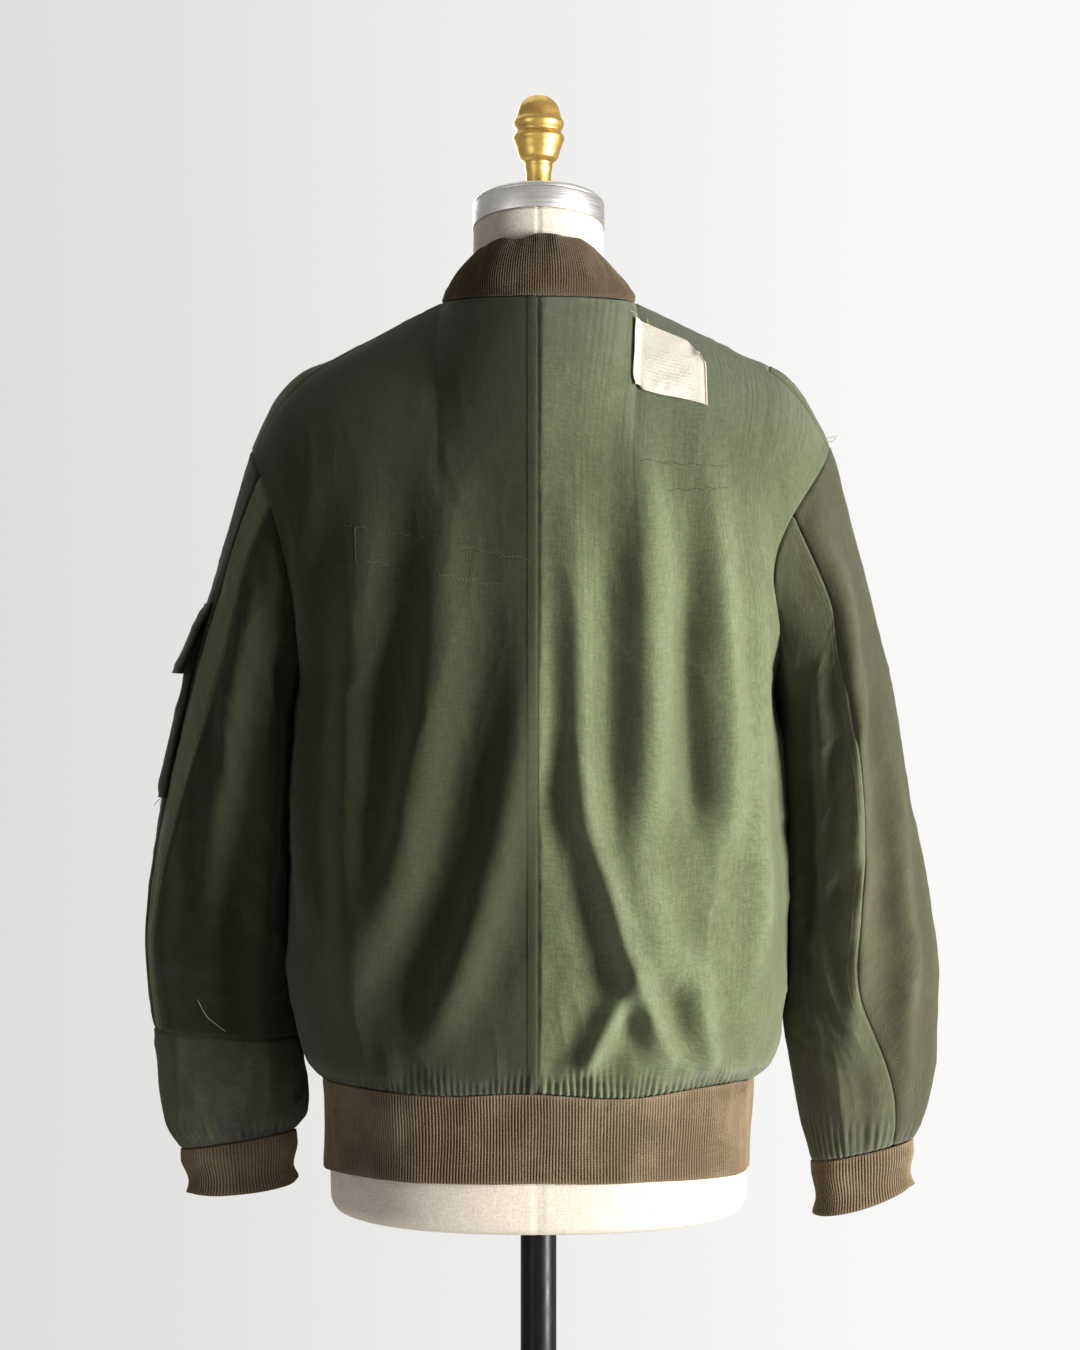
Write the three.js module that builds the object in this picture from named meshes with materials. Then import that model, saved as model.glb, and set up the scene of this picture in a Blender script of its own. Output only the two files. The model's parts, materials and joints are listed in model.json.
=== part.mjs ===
import * as THREE from "three";

// A patched bomber jacket on a limbless dress form with its stand, in millimetres, +Z up.
// The origin is the middle of the stand's foot on the floor. The jacket's front faces -Y,
// its back +Y, and the wearer's left is +X. "hand" is 1 on the wearer's left and -1 on the
// right, "face" is 1 on the back and -1 on the front.

const DEGREE = Math.PI / 180;
const CLOTH = 1.8;
const RIB = 3;
const SEAM_GAP = 0.3;

// Jacket heights and sizes
const HEM_SEAM_Z = 858;
const ARMPIT_Z = 1197;
const NECK_HALF_WIDTH = 84;
const NECK_BACK = 70;
const NECK_FRONT = 92;
const NECK_SIDE_Z = 1526;
const NECK_FRONT_DROP = 78;
const NECK_SHARE = 0.25;
const NECK_TURN = 85;
const WAISTBAND_HEIGHT = 72;
const ZIP_HALF_WIDTH = 4.5;
const STRIP_ANGLE = 24;
const ARMHOLE_BOW = 14;
const BODY_SQUARE = 2.4;
const FOREARM_START = 0.905;

// Cells across a quarter of the body, round an armhole and over a shoulder
const BODY_CELLS = 16;
const ARMHOLE_BANDS = 8;
const SHOULDER_CELLS = BODY_CELLS * (1 - NECK_SHARE);
const STRIP_CELLS = 4;
const PATCH_CELL = 8;
const NECK_CELLS = 18;

// Seam allowances that are shares of a turn or of a length
const SEAM_TURN = 0.13;
const SHOULDER_INSET = 0.0011;
const END_INSET = 0.0003;

// Gathers: how many times finer than the cells, and how high they stand
const HEM_SPLIT = 3;
const CUFF_SPLIT = 2;
const GATHER_HEIGHT = 1.9;

// Dress form and stand
const CAP_RADIUS = 57.5;
const CAP_HEIGHT = 24;
const CAP_Z = 1590;
const CAP_TILT = 9;
const POLE_RADIUS = 15.5;
const FORM_FLOOR_Z = 741;
const FORM_CELLS = 28;
const BASE_RADIUS = 190;
const BASE_EDGE = 12;
const BASE_TOP = 18;

const COLOURS = {
  darkOlive: { color: 0x414a2f, roughness: 0.85 },
  sage: { color: 0x6b7455, roughness: 0.8 },
  strip: { color: 0x56583f, roughness: 0.85 },
  fadedOlive: { color: 0x5f5d44, roughness: 0.85 },
  rib: { color: 0x6d5d46, roughness: 0.95 },
  canvas: { color: 0xe9ddcf, roughness: 0.9 },
  labelCloth: { color: 0xe6dcc8, roughness: 0.8 },
  steel: { color: 0xb9b9bb, roughness: 0.3, metalness: 1 },
  gold: { color: 0xb8903f, roughness: 0.4, metalness: 1 },
  black: { color: 0x141414, roughness: 0.4 },
  zipMetal: { color: 0x8d8468, roughness: 0.4, metalness: 1 },
};

const part = new THREE.Group();
part.name = "bomber_jacket_on_form";

function addPiece(name, geometry, colour, parent = part) {
  const mesh = new THREE.Mesh(geometry, new THREE.MeshStandardMaterial(COLOURS[colour]));
  mesh.name = name;
  parent.add(mesh);
  return mesh;
}

// A table of named columns, with smooth values between its rows.
function table(names, ...rows) {
  const columns = names.split(" ");
  return rows.map((row) => Object.fromEntries(columns.map((name, i) => [name, row[i]])));
}

function smoothValue(rows, at, name) {
  const key = Object.keys(rows[0])[0];
  const last = rows.length - 1;
  let i = 0;
  while (i < last - 1 && at > rows[i + 1][key]) i += 1;
  const slope = (j) => {
    const before = rows[Math.max(j - 1, 0)];
    const after = rows[Math.min(j + 1, last)];
    return (after[name] - before[name]) / (after[key] - before[key]);
  };
  const span = rows[i + 1][key] - rows[i][key];
  const t = THREE.MathUtils.clamp((at - rows[i][key]) / span, 0, 1);
  const rise = t * t * (3 - 2 * t);
  const leave = t * (1 - t) * (1 - t) * span * slope(i);
  const arrive = t * t * (t - 1) * span * slope(i + 1);
  return THREE.MathUtils.lerp(rows[i][name], rows[i + 1][name], rise) + leave + arrive;
}

// A rounded outline: the reach from the middle at an angle from +Y towards +X.
function roundedReach(side, depth, square, angle) {
  const across = Math.abs(Math.sin(angle) / side) ** square;
  const along = Math.abs(Math.cos(angle) / depth) ** square;
  return (across + along) ** (-1 / square);
}

// Body of the jacket from the hem seam to the armpit, by height
const bodySections = table("z side back front",
  [858, 186, 137, 134], [873, 201, 148, 144], [898, 210, 152, 148], [940, 213.5, 152, 149],
  [1010, 214, 149, 148], [1090, 210, 146, 147], [1150, 201, 145, 148], [1197, 190, 144, 148]);

// Middle line of the back and of the front, from the armpit's height to the neck
const backMiddle = table("rise y z",
  [0, 144, 1197], [0.25, 147, 1285], [0.5, 140, 1370], [0.75, 117, 1450], [0.9, 92, 1495], [1, 70, 1521]);
const frontMiddle = table("rise y z",
  [0, -148, 1197], [0.3, -148, 1275], [0.6, -138, 1350], [0.85, -112, 1415], [1, -92, 1448]);

// Shoulder from the neck to the sleeve: its ridge, and how far back, down and in the edge
// of the shoulder strip lies from it
const shoulder = table("t x z edgeY edgeDrop edgeIn",
  [0, 84, 1526, 7, 0.5, 0.3], [0.3, 131, 1501.5, 13, 2, 0], [0.55, 178, 1477, 20, 4, 1],
  [0.72, 207, 1463, 27, 9, 3], [0.86, 230, 1438, 33, 11, 4], [1, 249, 1398, 37.4, 8.7, 3.8]);

// Sleeves by outer and inner line, from the armhole to the cuff's seam
const leftSleeve = table("s outX outZ inX inZ y back front square",
  [0, 249, 1398, 190, 1197, 0, 92, 90, 2],
  [0.08, 260, 1358, 200, 1168, 0, 92, 90, 2],
  [0.18, 273, 1308, 206, 1136, -1, 90, 88, 2.1],
  [0.3, 289, 1252, 211.5, 1098, -2, 86, 85, 2.2],
  [0.42, 304, 1193, 215.5, 1058, -4, 82, 81, 2.3],
  [0.54, 320, 1127, 217.5, 1020, -6, 77, 76, 2.3],
  [0.64, 331, 1071, 220, 990, -8, 72, 72, 2.3],
  [0.73, 339, 1018, 224, 965, -10, 68, 68, 2.3],
  [0.81, 342, 968, 226, 938, -11, 63, 62, 2.3],
  [0.88, 338, 918, 222, 905, -12, 57, 56, 2.2],
  [0.94, 331, 862, 207, 862, -13, 49, 48, 2.2],
  [0.98, 325, 815, 203, 824, -13, 38, 37, 2.2],
  [1, 312, 789, 212, 806, -13, 23, 22, 2.2]);
const rightSleeve = table("s outX outZ inX inZ y back front square",
  [0, 252, 1402, 190, 1197, 0, 92, 90, 2],
  [0.08, 264, 1360, 200, 1168, 0, 92, 90, 2],
  [0.18, 278, 1310, 206, 1136, -1, 91, 88, 2.1],
  [0.3, 292, 1252, 211.5, 1098, -2, 88, 85, 2.2],
  [0.42, 305, 1193, 215.5, 1058, -4, 84, 81, 2.3],
  [0.54, 317, 1127, 217.5, 1020, -6, 79, 76, 2.3],
  [0.64, 326, 1071, 217, 990, -8, 74, 72, 2.3],
  [0.73, 334, 1012, 217, 962, -10, 70, 68, 2.3],
  [0.81, 341, 955, 217, 932, -11, 65, 62, 2.3],
  [0.88, 343, 903, 218, 898, -12, 58, 56, 2.2],
  [0.94, 341, 852, 223, 856, -13, 49, 48, 2.2],
  [0.98, 335, 815, 228, 818, -13, 38, 37, 2.2],
  [1, 327, 798, 238, 778, -13, 24, 22, 2.2]);

// Folds of the body, each a ridge through three heights (negative: a trough)
const backFolds = table("topZ topX midZ midX lowZ lowX width height",
  [1400, 140, 1130, 153, 900, 172, 22, 10],
  [1440, 78, 1160, 94, 880, 140, 24, 11],
  [1420, 34, 1170, 32, 870, 80, 24, 9],
  [1400, 8, 1150, 4, 930, 26, 17, -5],
  [1430, -30, 1180, -36, 1000, -58, 20, 9],
  [1015, -48, 960, -79, 872, -112, 17, 11],
  [968, -74, 920, -56, 866, -28, 16, 8],
  [1400, -84, 1260, -88, 1080, -94, 20, 9],
  [1450, -118, 1250, -138, 1060, -156, 21, 12],
  [1060, -118, 980, -134, 880, -152, 30, 11],
  [1320, -176, 1120, -182, 900, -176, 18, 7]);
const frontFolds = table("topZ topX midZ midX lowZ lowX width height",
  [1400, 70, 1160, 82, 890, 110, 25, 9],
  [1360, 128, 1120, 140, 900, 158, 23, 9],
  [1040, 44, 960, 52, 880, 60, 22, 8],
  [1400, -76, 1180, -86, 900, -120, 25, 9],
  [1340, -132, 1100, -146, 890, -160, 23, 9],
  [1060, -48, 970, -56, 880, -70, 24, 8]);

// Folds of the sleeves: angle from the top line towards the back, and place along the sleeve
const leftSleeveFolds = table("startS startAngle endS endAngle width height",
  [0.1, 96, 0.9, 104, 17, 9],
  [0.25, 62, 0.97, 56, 16, 6],
  [0.68, 146, 0.97, 122, 18, 8],
  [0.12, -72, 0.85, -80, 18, 9],
  [0.3, -122, 0.97, -108, 20, 8],
  [0.78, -30, 0.99, -36, 17, 6]);
const rightSleeveFolds = table("startS startAngle endS endAngle width height",
  [0.03, 66, 0.9, 94, 16, 10],
  [0.3, 48, 0.97, 60, 15, 6],
  [0.6, 124, 0.98, 114, 17, 8],
  [0.12, -74, 0.85, -86, 18, 9],
  [0.3, -124, 0.97, -110, 20, 8],
  [0.8, 20, 0.99, 26, 16, 6]);

function neckPoint(angle) {
  const cosine = Math.cos(angle * DEGREE);
  const front = Math.abs(Math.min(cosine, 0));
  const x = NECK_HALF_WIDTH * Math.sin(angle * DEGREE);
  const y = cosine * (cosine > 0 ? NECK_BACK : NECK_FRONT);
  const drop = cosine > 0 ? 5 * cosine : NECK_FRONT_DROP * front ** 1.6;
  return new THREE.Vector3(x, y, NECK_SIDE_Z - drop);
}

// A point on the sleeve's smooth form, angle in degrees from its outer line to the back
function sleeveForm(hand, angle, s) {
  const rows = hand > 0 ? leftSleeve : rightSleeve;
  const value = (name) => smoothValue(rows, s, name);
  const reach = roundedReach(1, 1, value("square"), angle * DEGREE);
  const outward = Math.cos(angle * DEGREE) * reach;
  const backward = Math.sin(angle * DEGREE) * reach;
  const depth = backward > 0 ? value("back") : value("front");
  const bow = ARMHOLE_BOW * Math.max(0, 1 - s / 0.14) ** 1.5 * backward ** 2;
  const x = (value("outX") + value("inX")) / 2 + ((value("outX") - value("inX")) / 2) * outward - bow;
  const z = (value("outZ") + value("inZ")) / 2 + ((value("outZ") - value("inZ")) / 2) * outward;
  return new THREE.Vector3(hand * x, value("y") + depth * backward, z);
}

// Shoulder ridge (across 0) and the strip's edges (across 1 at the back, -1 at the front)
function shoulderPoint(hand, t, across) {
  const bowed = (value) => new THREE.Vector3(
    hand * (value("x") - value("edgeIn") * across ** 2),
    value("edgeY") * across,
    value("z") - value("edgeDrop") * across ** 2);
  const point = bowed((name) => smoothValue(shoulder, t, name));
  const start = bowed((name) => shoulder[0][name]);
  const end = bowed((name) => shoulder.at(-1)[name]);
  const neck = neckPoint(90 - (90 - NECK_TURN) * across);
  neck.x *= hand;
  point.addScaledVector(sleeveForm(hand, across * STRIP_ANGLE, 0).sub(end), t);
  return point.addScaledVector(neck.sub(start), 1 - t);
}

// Upper edge of a quarter: the neckline, then the shoulder strip's edge
function topEdge(hand, face, u) {
  if (u > NECK_SHARE) return shoulderPoint(hand, (u - NECK_SHARE) / (1 - NECK_SHARE), face);
  const turn = (u / NECK_SHARE) * NECK_TURN;
  const point = neckPoint(face > 0 ? turn : 180 - turn);
  point.x *= hand;
  return point;
}

function middlePoint(face, rise) {
  const rows = face > 0 ? backMiddle : frontMiddle;
  return new THREE.Vector3(0, smoothValue(rows, rise, "y"), smoothValue(rows, rise, "z"));
}

function hemLine(x) {
  return 1.8 * Math.cos(x / 24) + 1.2 * Math.sin(x / 31);
}

// A point on a quarter's smooth form: u from the middle to the side, w from the hem seam
// (0) to the armpit's height (1) and on to the neck and shoulder (2)
function bodyForm(hand, face, u, w) {
  const angle = u * 90 * DEGREE;
  if (w <= 1) {
    const z = THREE.MathUtils.lerp(HEM_SEAM_Z, ARMPIT_Z, w);
    const value = (name) => smoothValue(bodySections, z, name);
    const depth = value(face > 0 ? "back" : "front");
    const reach = roundedReach(1, 1, BODY_SQUARE, angle);
    const x = hand * value("side") * reach * Math.sin(angle);
    const lift = hemLine(x) * Math.max(0, 1 - w * 6);
    return new THREE.Vector3(x, face * depth * reach * Math.cos(angle), z + lift);
  }
  const rise = w - 1;
  const turn = 180 - (180 - STRIP_ANGLE) * rise;
  const edge = sleeveForm(hand, face * turn, 0);
  const middle = middlePoint(face, rise);
  const reach = roundedReach(1, 1, BODY_SQUARE, angle);
  const arc = new THREE.Vector3(
    edge.x * reach * Math.sin(angle),
    THREE.MathUtils.lerp(edge.y, middle.y, reach * Math.cos(angle)),
    THREE.MathUtils.lerp(middle.z, edge.z, u * u));
  const top = topEdge(hand, face, u);
  top.addScaledVector(middle.clone().sub(topEdge(hand, face, 0)), 1 - u);
  top.addScaledVector(edge.clone().sub(topEdge(hand, face, 1)), u);
  return arc.lerp(top, rise ** 3);
}

// The way out of a smooth form at (u, v), pointing away from "inside"
function wayOut(form, u, v, inside) {
  const step = 0.004;
  const across = form(u + step, v).sub(form(u - step, v));
  const along = form(u, v + step).sub(form(u, v - step));
  const out = across.cross(along).normalize();
  const away = form(u, v).sub(inside);
  return out.dot(away) < 0 ? out.negate() : out;
}

function fadeIn(value, start, end) {
  return THREE.MathUtils.smoothstep(value, start, end);
}

// A fold's rounded ridge with a shallow hollow on each side
function ridge(distance) {
  return (1 - 0.7 * distance * distance) * Math.exp(-distance * distance);
}

function bodyFold(hand, face, u, w, point) {
  let height = 0;
  for (const fold of face > 0 ? backFolds : frontFolds) {
    if (point.z > fold.topZ || point.z < fold.lowZ) continue;
    const upper = point.z > fold.midZ;
    const share = upper
      ? (point.z - fold.midZ) / (fold.topZ - fold.midZ)
      : (fold.midZ - point.z) / (fold.midZ - fold.lowZ);
    const bend = (fold.topX + fold.lowX) / 2 - fold.midX;
    const lean = (fold.topX - fold.lowX) / 2;
    const signed = upper ? share : -share;
    const x = fold.midX + lean * signed + bend * signed * signed;
    const fade = 1 - fadeIn(share, 0.55, 1);
    height += fold.height * fade * ridge((point.x - x) / fold.width);
  }
  const side = 1 - fadeIn(u, 0.82, 0.98);
  const zip = face > 0 ? 1 : fadeIn(Math.abs(point.x), 8, 45);
  const rim = fadeIn(w, 0, 0.1) * (1 - fadeIn(w, 1.7, 1.95));
  return height * side * zip * rim;
}

function sleeveFold(hand, angle, s) {
  let height = 0;
  for (const fold of hand > 0 ? leftSleeveFolds : rightSleeveFolds) {
    const share = (s - fold.startS) / (fold.endS - fold.startS);
    if (share < 0 || share > 1) continue;
    const middle = THREE.MathUtils.lerp(fold.startAngle, fold.endAngle, share);
    const fade = Math.sin(Math.PI * share) ** 0.7;
    height += fold.height * fade * ridge((angle - middle) / fold.width);
  }
  return height * (1 - fadeIn(Math.abs(angle), 140, 170)) * (1 - fadeIn(s, 0.95, 1));
}

// Small even waves where a panel is gathered into the waistband, strongest just off the seam
function hemGather(u, distance) {
  const strength = distance < 0.5 ? 0.45 : 1 - fadeIn(distance, 24, 37);
  return GATHER_HEIGHT * strength * Math.cos(Math.PI * BODY_CELLS * HEM_SPLIT * u);
}

// Outer point and way out on a quarter of the body, moved out by "lift"
function onBody(hand, face, u, w, lift = 0, gathered = false) {
  const form = (a, b) => bodyForm(hand, face, a, b);
  const at = THREE.MathUtils.clamp(w, 0.004, 1.996);
  const side = THREE.MathUtils.clamp(u, 0.004, 0.996);
  const point = form(u, w);
  const out = wayOut(form, side, at, new THREE.Vector3(0, 0, point.z - 40));
  if (u < 0.03) out.setX(0).normalize();
  const waves = gathered ? hemGather(u, w * (ARMPIT_Z - HEM_SEAM_Z)) : 0;
  point.addScaledVector(out, bodyFold(hand, face, u, w, point) + waves + lift);
  return { point, out };
}

function onSleeve(hand, angle, s, lift = 0) {
  const form = (a, b) => sleeveForm(hand, a, b);
  const at = THREE.MathUtils.clamp(s, 0.004, 0.996);
  const point = form(angle, s);
  const middle = form(0, at).add(form(180, at)).multiplyScalar(0.5);
  const out = wayOut((a, b) => form(a * 360, b), angle / 360, at, middle);
  point.addScaledVector(out, sleeveFold(hand, angle, s) + lift);
  point.x += hand * 1.6 * SEAM_GAP;
  return { point, out };
}

// Triangles between two rows, where one may have a whole multiple of the other's cells. With
// "spread", which measures two corners, each square is cut along its shorter diagonal.
function joinRows(faces, low, high, lowCells, highCells, spread = () => 0) {
  const lowAt = (i) => low[i % low.length];
  const highAt = (i) => high[i % high.length];
  const fineBelow = lowCells >= highCells;
  const cells = Math.min(lowCells, highCells);
  const split = Math.max(lowCells, highCells) / cells;
  const half = Math.ceil(split / 2);
  for (let i = 0; i < cells; i += 1) {
    const corners = [lowAt(i), lowAt(i + 1), highAt(i + 1), highAt(i)];
    if (split === 1 && spread(corners[0], corners[2]) < spread(corners[1], corners[3])) {
      faces.push(corners[0], corners[1], corners[2], corners[0], corners[2], corners[3]);
      continue;
    }
    for (let k = 0; k < split; k += 1) {
      const fine = i * split + k;
      const coarse = k < half ? i : i + 1;
      if (fineBelow) faces.push(lowAt(fine), lowAt(fine + 1), highAt(coarse));
      else faces.push(lowAt(coarse), highAt(fine + 1), highAt(fine));
    }
    if (fineBelow) faces.push(lowAt(i * split + half), highAt(i + 1), highAt(i));
    else faces.push(lowAt(i), lowAt(i + 1), highAt(i * split + half));
  }
}

function signedVolume(vertices, faces) {
  let volume = 0;
  const corner = (i) => new THREE.Vector3().fromArray(vertices, i * 3);
  for (let i = 0; i < faces.length; i += 3) {
    volume += corner(faces[i]).dot(corner(faces[i + 1]).cross(corner(faces[i + 2]))) / 6;
  }
  return volume;
}

function closedGeometry(vertices, faces) {
  const geometry = new THREE.BufferGeometry();
  geometry.setAttribute("position", new THREE.Float32BufferAttribute(vertices, 3));
  geometry.setIndex(signedVolume(vertices, faces) < 0 ? faces.toReversed() : faces);
  geometry.computeVertexNormals();
  return geometry;
}

// A cloth wall: place(u, at) gives its outer points, and rows lists where they lie
function wallGeometry(place, rows, thickness, closed = false) {
  const vertices = [];
  const layer = (depth) => rows.map(({ at, cells }) => {
    const row = [];
    for (let i = 0; i < (closed ? cells : cells + 1); i += 1) {
      const { point, out } = place(i / cells, at);
      row.push(vertices.length / 3);
      vertices.push(...point.addScaledVector(out, -depth).toArray());
    }
    return row;
  });
  const outer = layer(0);
  const layerSize = vertices.length / 3;
  const inner = layer(thickness);
  const corner = (i) => new THREE.Vector3().fromArray(vertices, i * 3);
  const spread = (a, b) => corner(a).distanceTo(corner(b));
  const last = rows.length - 1;
  const faces = [];
  for (let r = 1; r <= last; r += 1) {
    joinRows(faces, outer[r - 1], outer[r], rows[r - 1].cells, rows[r].cells, spread);
  }
  const outside = faces.length;
  for (let i = 0; i < outside; i += 3) {
    faces.push(faces[i] + layerSize, faces[i + 2] + layerSize, faces[i + 1] + layerSize);
  }
  joinRows(faces, inner[0], outer[0], rows[0].cells, rows[0].cells);
  joinRows(faces, outer[last], inner[last], rows[last].cells, rows[last].cells);
  if (!closed) {
    const side = (grid, end) => grid.map((row) => row[end * (row.length - 1)]);
    joinRows(faces, side(outer, 0), side(inner, 0), last, last);
    joinRows(faces, side(inner, 1), side(outer, 1), last, last);
  }
  return closedGeometry(vertices, faces);
}

function evenRows(start, end, bands, cells) {
  const rows = [];
  for (let i = 0; i <= bands; i += 1) rows.push({ at: start + ((end - start) * i) / bands, cells });
  return rows;
}

// How much of u or v a small distance takes up at a point of a form
function share(form, u, v, distance, alongV = false) {
  const step = 0.002;
  const moved = alongV ? form(u, v - step) : form(u + (u > 0.5 ? -step : step), v);
  return (distance * step) / moved.distanceTo(form(u, v));
}

function addBodyPanel(name, hand, face, bands, colour) {
  const seamHeight = ARMPIT_Z - HEM_SEAM_Z;
  const form = (u, w) => bodyForm(hand, face, u, w);
  const middleGap = face > 0 ? SEAM_GAP / 2 : ZIP_HALF_WIDTH + SEAM_GAP;
  const place = (u, at) => {
    const start = share(form, 0, at, middleGap);
    const end = 1 - share(form, 1, at, 0.8 * SEAM_GAP);
    const across = THREE.MathUtils.lerp(start, end, u);
    const topGap = u < NECK_SHARE ? 1.8 * SEAM_GAP : SEAM_GAP / 2;
    const top = at > 1.999 ? at - share(form, across, 2, topGap, true) : at;
    const placed = onBody(hand, face, across, top, 0, true);
    if (at > 1.999 && u > NECK_SHARE - 0.01) {
      placed.out = shoulderOut(hand, (u - NECK_SHARE) / (1 - NECK_SHARE), face);
    }
    return placed;
  };
  const rows = [
    ...[0, 13].map((height) => ({ at: height / seamHeight, cells: BODY_CELLS * HEM_SPLIT })),
    ...evenRows(38 / seamHeight, 1, bands, BODY_CELLS),
    ...evenRows(1, 2, ARMHOLE_BANDS, BODY_CELLS).slice(1)];
  addPiece(name, wallGeometry(place, rows, CLOTH), colour);
}

// The way out of a shoulder strip, which the panels share along its edges
function shoulderOut(hand, t, across) {
  const form = (a, b) => shoulderPoint(hand, b, a);
  const at = THREE.MathUtils.clamp(t, 0.004, 0.996);
  return wayOut(form, across, at, new THREE.Vector3(0, 0, form(across, at).z - 40));
}

// A strip of a shoulder, over the ridge between the back's and the front's upper edges
function addShoulder(name, hand, startCell, endCell, colour) {
  const place = (u, cell) => {
    const inset = (cell === startCell ? 1 : 0) - (cell === endCell ? 1 : 0);
    const t = cell / SHOULDER_CELLS + inset * SHOULDER_INSET;
    const edge = 1 - SEAM_GAP / 2 / Math.max(8, smoothValue(shoulder, t, "edgeY"));
    const across = THREE.MathUtils.lerp(-edge, edge, u);
    return { point: shoulderPoint(hand, t, across), out: shoulderOut(hand, t, across) };
  };
  const rows = evenRows(startCell, endCell, endCell - startCell, STRIP_CELLS);
  addPiece(name, wallGeometry(place, rows, CLOTH), colour);
}

// Seam lines on the sleeves, as angles from the outer line, by place along the sleeve
const leftSeams = table("s strip back",
  [0, 43.5, 63], [0.15, 43, 66], [0.35, 38, 64], [0.6, 30, 54], [0.8, 24, 42], [0.91, 22, 36]);
const rightSeams = table("s back",
  [0, 63], [0.15, 60], [0.4, 62], [0.7, 70], [0.85, 66], [1, 48]);

function sleeveRows(startS, endS, bands, cells, gathered) {
  if (!gathered) return evenRows(startS, endS, bands, cells);
  const fine = cells * CUFF_SPLIT;
  const gathers = [0.978, 0.99, endS].map((at) => ({ at, cells: fine }));
  return [...evenRows(startS, 0.955, bands, cells), ...gathers];
}

function cuffGather(s, u, fine) {
  const strength = s > 0.97 ? (s > 0.995 ? 0.45 : 1) : 0;
  return GATHER_HEIGHT * strength * Math.cos(Math.PI * fine * u);
}

// Angles on the armhole where the body panels and the shoulder strip have their corners
function armholeCorners(startAngle, endAngle) {
  const band = (180 - STRIP_ANGLE) / ARMHOLE_BANDS;
  const corners = [];
  for (let i = 0; i <= ARMHOLE_BANDS; i += 1) corners.push(i * band - 180, 180 - i * band);
  for (let i = 1; i < STRIP_CELLS; i += 1) corners.push(STRIP_ANGLE * ((2 * i) / STRIP_CELLS - 1));
  const between = corners.filter((angle) => angle > startAngle - 0.5 && angle < endAngle + 0.5);
  return between.sort((a, b) => a - b);
}

// A panel of a sleeve between two seam angles, which are functions of the place along it
function addSleevePanel(name, hand, angles, ends, bands, cells, colour) {
  const [startS, endS] = ends;
  const gathered = endS === 1;
  const closed = angles === "ring";
  const corners = startS === 0 ? armholeCorners(angles[0](0), angles[1](0)) : [];
  if (startS === 0) {
    corners[0] += SEAM_TURN;
    corners[cells] -= SEAM_TURN;
  }
  const evenAngle = (u, s) => {
    if (closed) return -180 + 360 * u;
    return THREE.MathUtils.lerp(angles[0](s) + SEAM_TURN, angles[1](s) - SEAM_TURN, u);
  };
  const place = (u, at) => {
    const s = THREE.MathUtils.clamp(at, startS + END_INSET, endS - END_INSET);
    const even = evenAngle(u, s);
    const corner = corners[Math.round(u * cells)];
    const angle = startS === 0 ? THREE.MathUtils.lerp(corner, even, fadeIn(s, 0, 0.25)) : even;
    return onSleeve(hand, angle, s, gathered ? cuffGather(s, u, cells * CUFF_SPLIT) : 0);
  };
  const rows = sleeveRows(startS, endS, bands, cells, gathered);
  addPiece(name, wallGeometry(place, rows, CLOTH, closed), colour);
}

// Ribs: waistband, collar and cuffs
function addWaistband() {
  const sections = table("rise side back front",
    [0, 184, 133, 131], [0.35, 183.4, 132.6, 130.6], [0.75, 184.6, 134.4, 132], [1, 186, 137, 134]);
  const place = (u, at) => {
    const value = (name) => smoothValue(sections, at, name);
    const gapAngle = Math.asin((ZIP_HALF_WIDTH + SEAM_GAP) / value("side"));
    const angle = THREE.MathUtils.lerp(-Math.PI + gapAngle, Math.PI - gapAngle, u);
    const depth = Math.cos(angle) > 0 ? value("back") : value("front");
    const reach = roundedReach(1, 1, BODY_SQUARE, angle);
    const out = new THREE.Vector3(Math.sin(angle) * depth, Math.cos(angle) * value("side"), 0).normalize();
    const point = new THREE.Vector3(value("side") * Math.sin(angle), depth * Math.cos(angle), 0);
    point.multiplyScalar(reach);
    const bottom = HEM_SEAM_Z - WAISTBAND_HEIGHT + 6 * Math.cos(angle) ** 2 - 5;
    const top = HEM_SEAM_Z + hemLine(point.x) - 1.5 * SEAM_GAP;
    point.setZ(THREE.MathUtils.lerp(bottom, top, at));
    return { point, out };
  };
  addPiece("waistband", wallGeometry(place, evenRows(0, 1, 2, 56), RIB), "rib");
}

const collarSections = table("rise in up",
  [0, 0, 0], [0.35, 0.1, 0.36], [0.7, 0.5, 0.72], [1, 1, 1]);

function collarPoint(angle, rise) {
  const foot = neckPoint(Math.abs(angle));
  foot.x *= Math.sign(angle) || 1;
  const turn = Math.abs(angle) * DEGREE;
  const frontShare = (1 - Math.cos(turn)) / 2;
  const wave = 1.6 * Math.cos(7 * turn) + 1.1 * Math.cos(11 * turn + 1);
  const top = new THREE.Vector3(
    Math.sign(angle) * 62.5 * Math.sin(turn),
    63 * Math.cos(turn),
    THREE.MathUtils.lerp(1573, 1503, frontShare ** 1.3) + 4 * Math.sin(turn) ** 2 + wave);
  const inShare = smoothValue(collarSections, rise, "in");
  const upShare = smoothValue(collarSections, rise, "up");
  return new THREE.Vector3(
    THREE.MathUtils.lerp(foot.x, top.x, inShare),
    THREE.MathUtils.lerp(foot.y, top.y, inShare),
    THREE.MathUtils.lerp(foot.z + SEAM_GAP + 2 * fadeIn(frontShare, 0.42, 0.55), top.z, upShare));
}

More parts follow.
